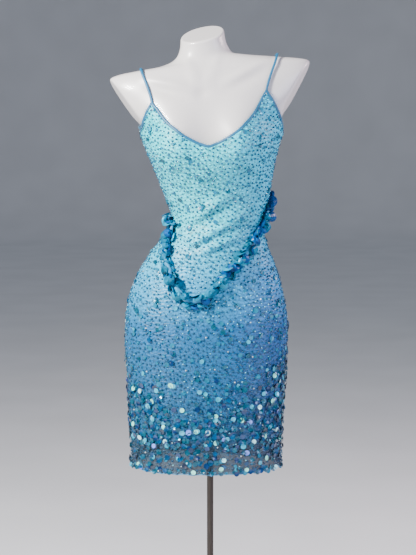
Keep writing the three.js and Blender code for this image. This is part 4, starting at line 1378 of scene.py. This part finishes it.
@dataclass
class Sprinkle:
    """One kind of small thing scattered over cloth by a geometry node tree. Sizes in millimetres.

    The share is the name of what the cloth's points take of it. The lean is the least and the most turn
    about its own axes, in degrees. Beads and paillettes first turn to point down the cloth.
    """

    name: str
    shape: Shape
    finish: Finish
    spacing: float
    sizes: tuple[float, float]
    share: str
    seed: int
    lift: tuple[float, float]
    lean: tuple
    crowding: float = 4.0

    def tree(self, haberdashery: Haberdashery) -> Sewing:
        """Builds the node tree: points over the faces, raised and turned, with the pattern on each."""
        sewing = Sewing(self.name, "Cloth", {
            "Spacing": "Float", "Density": "Float", "Smallest": "Float", "Largest": "Float",
            "Lowest": "Float", "Highest": "Float", "Least Lean": "Vector", "Most Lean": "Vector",
            "Seed": "Int",
        })
        points = sewing.add("GeometryNodeDistributePointsOnFaces", distribute_method="POISSON")
        sewing.feed(points, {
            "Mesh": sewing.given("Cloth"), "Distance Min": sewing.given("Spacing"),
            "Density Max": sewing.given("Density"), "Density Factor": sewing.stored(self.share, "FLOAT"),
            "Seed": sewing.given("Seed"),
        })
        height = sewing.random("Lowest", "Highest", self.seed + 11)
        offset = sewing.add(
            "ShaderNodeVectorMath", {0: points.outputs["Normal"], "Scale": height}, operation="SCALE"
        )
        raised = sewing.add("GeometryNodeSetPosition", {
            "Geometry": points.outputs["Points"], "Offset": offset.outputs["Vector"],
        })
        facing = points.outputs["Rotation"]
        if self.shape in (Shape.BEAD, Shape.PAILLETTE):
            facing = sewing.add(
                "FunctionNodeAlignRotationToVector", {"Rotation": facing, "Vector": (0, 0, -1)},
                axis="X", pivot_axis="Z",
            ).outputs["Rotation"]
        lean = sewing.random("Least Lean", "Most Lean", self.seed + 37, vector=True)
        angles = sewing.add("FunctionNodeEulerToRotation", {0: lean}).outputs[0]
        turned = sewing.add("FunctionNodeRotateRotation", {0: facing, 1: angles}, rotation_space="LOCAL")
        sewing.place(
            haberdashery.patterns[self.shape], self.finish.make(), Points=raised.outputs["Geometry"],
            Rotation=turned.outputs["Rotation"], Scale=sewing.random("Smallest", "Largest", self.seed + 23),
        )
        return sewing

    def sew(self, cloth: Object, haberdashery: Haberdashery) -> Object:
        """Scatters the things over a cloth surface and returns them as one plain mesh piece.

        Args:
            cloth: the surface, with this sprinkle's share as an attribute of its points.
            haberdashery: where the repeated shape comes from.
        """
        mesh = self.tree(haberdashery).result(cloth, {
            "Spacing": self.spacing * MM, "Density": self.crowding / (self.spacing * MM) ** 2,
            "Smallest": self.sizes[0] * MM, "Largest": self.sizes[1] * MM,
            "Least Lean": [math.radians(angle) for angle in self.lean[0]],
            "Most Lean": [math.radians(angle) for angle in self.lean[1]],
            "Lowest": self.lift[0] * MM, "Highest": self.lift[1] * MM, "Seed": self.seed,
        })
        return ride_and_slot(new_object(self.name, mesh), "paillettes")


@dataclass
class Embroidery:
    """Beads and sequins over the net, sparse above and dense towards the hem."""

    haberdashery: Haberdashery
    bead_spacing: float = 7.6
    bead_sizes: tuple = (3.3, 5.0)
    crosswise: tuple = ((-8, -8, 55), (8, 8, 125))
    loose: tuple = ((-14, -14, -180), (14, 14, 180))
    ruffled: tuple = ((-20, -20, -180), (20, 20, 180))
    skirt_steps: int = 110
    bodice_steps: int = 84
    normal_step: int = 97
    shower_top: float = 628
    right_rise: float = 95
    left_rise: float = 50

    def surface(self, panel: Panel, part: str) -> Object:
        """The outer face of a net panel, with how much of each sprinkle its points take."""
        if part == "skirt":
            rows = CLOTH.skirt_rows(panel, self.skirt_steps)
        else:
            rows = CLOTH.bodice_rows(panel, self.bodice_steps)
        points = CLOTH.grid(panel, rows, NET.outer, NET.ease)
        mesh = mesh_from(f"{part} face", points, grid_faces(*points.shape[:2]))
        flat = points.reshape(-1, 3)
        some = mesh.polygons[:][::self.normal_step]
        outward = np.array([face.normal for face in some])
        middles = np.array([face.center for face in some]) / MM
        if np.einsum("ij,ij->i", outward[:, :2], middles[:, :2] - flat.mean(0)[:2] * (1, 0)).sum() < 0:
            mesh.flip_normals()
        give_points(mesh, self.shares(flat))
        face = new_object(f"{part}_{panel.side.value}_face", mesh)
        face.hide_render = True
        return face

    def shares(self, points: np.ndarray) -> dict[str, np.ndarray]:
        """How much of each sprinkle the points of the net take, from 0 to 1."""
        x, z = points[:, 0], points[:, 2]
        right, left = np.clip(x / 150, 0, 1.1) ** 1.6, np.clip(-x / 170, 0, 1.1) ** 1.6
        rise = self.right_rise * right + self.left_rise * left
        line = self.shower_top + rise + 14 * np.sin(x * 0.05 + 1.3) + 9 * np.sin(x * 0.11)
        dense = smooth_step(40, -50, z - line)
        loose = smooth_step(190, 10, z - line) * (1 - dense)
        band = smooth_step(570, 540, z)
        upper = smooth_step(720, 930, z)
        return {
            "upper": upper,
            "lower": 1 - upper,
            # Painted highlight: the pale aqua beads crowd the upper part, where the light falls, and thin out
            # below.
            "glow": 0.12 + 0.88 * smooth_step(760, 960, z),
            "shower": np.clip(dense * (1 - 0.5 * band) + 0.06 * loose, 0, 1),
            "scatter": np.clip(0.8 + 0.3 * loose, 0, 1),
            "sparse": 0.35 + 0.65 * smooth_step(1000, 700, z),
        }

    def build(self) -> None:
        """Sews on every sprinkle, panel by panel for the small beads and all over for the rest."""
        faces = {
            (panel.side.value, part): self.surface(panel, part) for panel in (FRONT, BACK)
            for part in ("skirt", "bodice")
        }
        seed = 1
        for (side, part), face in faces.items():
            for tone, finish, share in (("sky", SKY_BEAD, "upper"), ("teal", TEAL_BEAD, "lower")):
                if part == "skirt" or tone == "sky":
                    seed += 1
                    Sprinkle(
                        f"{tone}_beads_{part}_{side}", Shape.BEAD, finish, self.bead_spacing, self.bead_sizes,
                        share, seed, (0.6, 1.1), self.crosswise,
                    ).sew(face, self.haberdashery)
        whole = self.join(list(faces.values()))
        for sprinkle in self.all_over():
            sprinkle.sew(whole, self.haberdashery)
        bpy.data.objects.remove(whole)

    def all_over(self) -> Iterator[Sprinkle]:
        """What is sewn over the whole net, in order."""
        bead, disc, stone = Shape.BEAD, Shape.SEQUIN, Shape.CRYSTAL
        # The pale aqua beads follow the painted highlight share, thickest on the upper part.
        yield Sprinkle("aqua_beads", bead, AQUA_BEAD, 9, (1.9, 2.8), "glow", 31, (0.8, 1.2), self.crosswise)
        yield Sprinkle("small_sequins", disc, CERULEAN, 21, (4.8, 7.0), "scatter", 32, (0.8, 1.6), self.loose)
        yield Sprinkle("crystals", stone, CRYSTAL, 42, (2.6, 3.8), "sparse", 33, (0.2, 0.4), self.loose)
        for k, (tone, spacing) in enumerate(((CERULEAN, 40), (SHOWER[0].finish, 52), (SHOWER[5].finish, 66))):
            name = f"scattered_{tone.name}s".replace(" ", "_")
            yield Sprinkle(name, disc, tone, spacing, (8.0, 11.0), "scatter", 41 + k, (1.0, 2.2), self.loose)
        for k, tone in enumerate(SHOWER):
            name = f"shower_{tone.finish.name}s".replace(" ", "_")
            yield Sprinkle(
                name, disc, tone.finish, tone.spacing, (9.0, 12.0), "shower", 61 + k, (1.2, 3.4), self.ruffled
            )

    def join(self, faces: list[Object]) -> Object:
        """Joins the panels' faces into one surface."""
        with bpy.context.temp_override(
            active_object=faces[0], selected_objects=faces, selected_editable_objects=faces, object=faces[0]
        ):
            bpy.ops.object.join()
        return faces[0]


@dataclass
class Stitching:
    """Rows of small stitches along the bindings, the side seams and the hem. Millimetres."""

    haberdashery: Haberdashery
    length: float = 3.6
    pitch: float = 5.4
    above: float = 0.35
    seam_offset: float = 1.6
    binding_clear: float = 1.4
    hem_row: float = 0.09
    hem_clear: float = 0.15
    seam_clear: float = 0.2
    edge_samples: int = 200
    seam_samples: int = 240
    hem_samples: int = 400

    def tree(self) -> Sewing:
        """Builds the node tree: the stitch on each point, turned as the point says, made real."""
        sewing = Sewing("stitches", "Places", {"Length": "Float"})
        angles = sewing.add("FunctionNodeEulerToRotation", {0: sewing.stored("turn", "FLOAT_VECTOR")})
        sewing.place(
            self.haberdashery.patterns[Shape.STITCH], THREAD.make(), Points=sewing.given("Places"),
            Rotation=angles.outputs[0], Scale=sewing.given("Length"),
        )
        return sewing

    def beside(self, line: EdgeLine, offset: float) -> tuple[np.ndarray, np.ndarray]:
        """Places and normals of a row that follows an edge line, a distance into the cloth."""
        points, normals = CLOTH.along(line, NET.outer + self.above, self.edge_samples)
        return points - crosswise(points, normals) * offset, normals

    def upright(self, column: float, low: float, high: float) -> tuple[np.ndarray, np.ndarray]:
        """Places and normals of a row up a cloth column between two rows of the figure."""
        rows = np.linspace(low, high, self.seam_samples)
        return CLOTH.frame(np.full_like(rows, column), rows, NET.outer + self.above, 1)

    def build(self) -> None:
        """Sews every row as one piece."""
        inset = Trims.binding_width + Trims.binding_clear + self.binding_clear
        paths = [self.beside(line, inset) for line in (
            FRONT_NECK, LEFT_ARMHOLE, RIGHT_ARMHOLE, BACK_NECK, BACK_LEFT_ARMHOLE, BACK_RIGHT_ARMHOLE
        )]
        for panel in (FRONT, BACK):
            angles = np.linspace(panel.angles()[0], panel.angles()[-1], self.hem_samples)
            hem = np.full_like(angles, self.hem_row)
            paths.append(CLOTH.frame(angles, hem, NET.outer + self.above, 1))
            for column in (angles[0] + self.seam_offset, angles[-1] - self.seam_offset):
                seam = float(panel.seam.row(np.array(column)))
                top = float(panel.top_row(np.array([column]))[0])
                paths.append(self.upright(column, self.hem_clear, seam - self.seam_clear))
                paths.append(self.upright(column, seam + self.seam_clear, top - self.seam_clear))
        places, turns = [], []
        for points, normals in paths:
            spots, outward = even_path(points, normals, self.pitch, (self.pitch, self.pitch))
            run = np.gradient(spots, axis=0)
            for spot, along, out in zip(spots, run, outward):
                x = Vector(along).normalized()
                y = Vector(out).cross(x).normalized()
                places.append(spot * MM)
                turns.append(Matrix((x, y, x.cross(y))).transposed().to_euler())
        mesh = bpy.data.meshes.new("stitch places")
        mesh.from_pydata(places, [], [])
        attribute = mesh.attributes.new("turn", "FLOAT_VECTOR", "POINT")
        attribute.data.foreach_set("vector", np.array(turns, np.float32).ravel())
        holder = new_object("stitch_places", mesh)
        sewn = self.tree().result(holder, {"Length": self.length * MM})
        bpy.data.objects.remove(holder)
        ride_and_slot(new_object("stitches", sewn), "binding")


@dataclass
class Swag:
    """The paillette trim over the waist seam: a gathered roll with large holed discs sewn round it."""

    haberdashery: Haberdashery
    width: float = 12.0
    thickness: float = 5.0
    lift: float = 2.9
    end_cut: float = 3.0
    sizes: tuple[float, float] = (18.0, 24.0)
    fanned: tuple = ((-12, -27, -85), (12, -2, 85))
    proud: tuple = ((-20, -80, 62), (20, -46, 118))
    step: float = 3.0
    foot: float = 0.4
    arch_points: int = 9
    samples: int = 260

    def roll(self, panel: Panel, material: Material) -> Object:
        """The roll that the discs are sewn to."""
        name = f"swag_{panel.side.value}"
        points, normals = CLOTH.along(panel.seam, NET.outer + self.lift, self.samples)
        path, out = even_path(points, normals, self.step, (self.end_cut, self.end_cut))
        k = np.arange(len(path))
        half = self.width / 2 * (1 + 0.12 * np.sin(k * 1.1))
        high = self.thickness * (1 + 0.15 * np.cos(k * 0.9 + 1))
        turn = np.linspace(0, math.pi, self.arch_points)
        rise = self.foot + (high[:, None] - self.foot) * np.sin(turn)
        arch = np.stack([-half[:, None] * np.cos(turn), rise], -1)
        piece = new_object(f"{name}_roll", tube_mesh(name, path, out, arch), material)
        return ride_and_slot(piece, "paillettes", name)

    def build(self) -> None:
        """Makes the rolls and sews the paillettes over them."""
        core = Finish("azure trim core", (0.0, 0.24, 0.46), 0.5, 0.0, sheen=0.3).make()
        for roll in [self.roll(panel, core) for panel in (FRONT, BACK)]:
            side = roll.name.split("_")[1]
            face = new_object(f"{side}_roll_face", roll.data.copy())
            face.hide_render = True
            across = np.array([vertex.co.x for vertex in face.data.vertices]) / MM
            # Painted light and shade: the light cyan and pale aqua discs crowd the lit left, and the darker
            # azure and teal ones the shaded right.
            painted_lit_share = 1 - 0.75 * smooth_step(55, 90, across)
            painted_shade_share = 0.5 + 0.5 * smooth_step(10, 70, across)
            give_points(face.data, {
                "cyan": painted_lit_share, "azure": painted_shade_share, "teal": painted_shade_share, "pale aqua": painted_lit_share,
                "waist ends": smooth_step(86, 98, across),
            })
            standing = replace(PAILLETTES[1].finish, name="clear azure paillette", alpha=0.8)
            Sprinkle(
                f"standing_paillettes_{side}", Shape.PAILLETTE, standing, 12.0, self.sizes, "waist ends", 91,
                (0.3, 2.0), self.proud,
            ).sew(face, self.haberdashery)
            for k, tone in enumerate(PAILLETTES):
                tint = tone.finish.name
                Sprinkle(
                    f"{tint}s_{side}".replace(" ", "_"), Shape.PAILLETTE, tone.finish, tone.spacing,
                    self.sizes, tint.removesuffix(" paillette"), 81 + k, (0.3, 3.0), self.fanned,
                ).sew(face, self.haberdashery)
            bpy.data.objects.remove(face)


@dataclass(frozen=True)
class AreaLight:
    """A soft square light that faces the dress, in metres and watts."""

    name: str
    place: tuple[float, float, float]
    size: float
    power: float
    color: tuple[float, float, float]


LIGHTS = (
    AreaLight("key", (-1.65, -1.35, 2.3), 0.42, 222, (1.0, 0.985, 0.955)),
    AreaLight("fill", (2.4, -1.7, 1.5), 1.5, 62, (0.72, 0.74, 1.0)),
    AreaLight("kicker", (2.1, 0.5, 1.9), 0.8, 44, (1.0, 0.78, 0.80)),
)


@dataclass
class Studio:
    """A plain pale room, soft lights and the camera at the photograph's angle. Metres."""

    target: tuple[float, float, float] = (-0.0046, 0.0, 0.896)
    distance: float = 3.0
    pitch: float = 6.0
    pixel: float = 0.0021
    picture_height: int = 555
    sensor: float = 36.0
    floor: float = 12.0
    cove: float = 2.0
    wall: float = 4.5
    sky: tuple = (0.66, 0.72, 0.84)
    sky_strength: float = 0.36

    def camera(self) -> None:
        """Makes the camera, framed on the dress as in the photograph."""
        data = bpy.data.cameras.new("camera")
        data.sensor_width = self.sensor
        data.lens = self.sensor * self.distance / (self.picture_height * self.pixel)
        camera = bpy.data.objects.new("camera", data)
        pitch = math.radians(self.pitch)
        camera.location = Vector(self.target) + Vector((0, -math.cos(pitch), math.sin(pitch))) * self.distance
        camera.rotation_euler = (math.radians(90) - pitch, 0, 0)
        bpy.context.scene.collection.objects.link(camera)
        bpy.context.scene.camera = camera

    def area(self, light: AreaLight) -> None:
        """Hangs one light."""
        data = bpy.data.lights.new(light.name, "AREA")
        data.size = light.size
        data.energy = light.power
        data.color = light.color
        lamp = bpy.data.objects.new(light.name, data)
        lamp.location = light.place
        aim = Vector(self.target) - Vector(light.place)
        lamp.rotation_euler = aim.to_track_quat("-Z", "Y").to_euler()
        bpy.context.scene.collection.objects.link(lamp)

    def build(self) -> None:
        """Makes the floor, backdrop, world and lights."""
        world = bpy.data.worlds.new("studio")
        world.use_nodes = True
        background = world.node_tree.nodes["Background"]
        background.inputs["Color"].default_value = (*self.sky, 1)
        background.inputs["Strength"].default_value = self.sky_strength
        bpy.context.scene.world = world
        for light in LIGHTS:
            self.area(light)
        self.room()

    def room(self) -> None:
        """A pale round floor that curves up into a wall beyond every camera."""
        sides, steps, inner = 64, 10, 0.5
        bend = [(self.floor + self.cove * math.sin(a), self.cove - self.cove * math.cos(a))
                for a in np.linspace(0, math.pi / 2, steps)]
        profile = np.array([(inner, 0.0), *bend, (self.floor + self.cove, self.wall)])
        turn = np.linspace(0, 2 * math.pi, sides, endpoint=False)[:, None]
        radius, height = profile[:, 0][None], profile[:, 1][None]
        points = np.stack([radius * np.cos(turn), radius * np.sin(turn), height + 0 * turn], -1)
        faces = [face[::-1] for face in grid_faces(sides, len(profile), closed=True)]
        faces.append(tuple(k * len(profile) for k in range(sides)))
        mesh = bpy.data.meshes.new("room")
        mesh.from_pydata(points.reshape(-1, 3).tolist(), [], faces)
        mesh.shade_smooth()
        paper = Finish("pale paper", (0.76, 0.77, 0.79), 0.85, specular=0.2, mottle=0.03, grain_mm=400)
        new_object("room", mesh, paper.make())


def main() -> None:
    """Builds every piece in order."""
    logging.basicConfig(level=logging.INFO, format="%(message)s")
    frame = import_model()
    studio = Studio()
    studio.camera()
    studio.build()
    form = Form()
    shell = form.build()
    form.dress_stand(frame)
    panels = Panels()
    pieces = panels.build()
    Trims().build()
    haberdashery = Haberdashery()
    Embroidery(haberdashery).build()
    Stitching(haberdashery).build()
    Swag(haberdashery).build()
    for pattern in haberdashery.patterns.values():
        bpy.data.objects.remove(pattern)


if __name__ == "__main__":
    main()
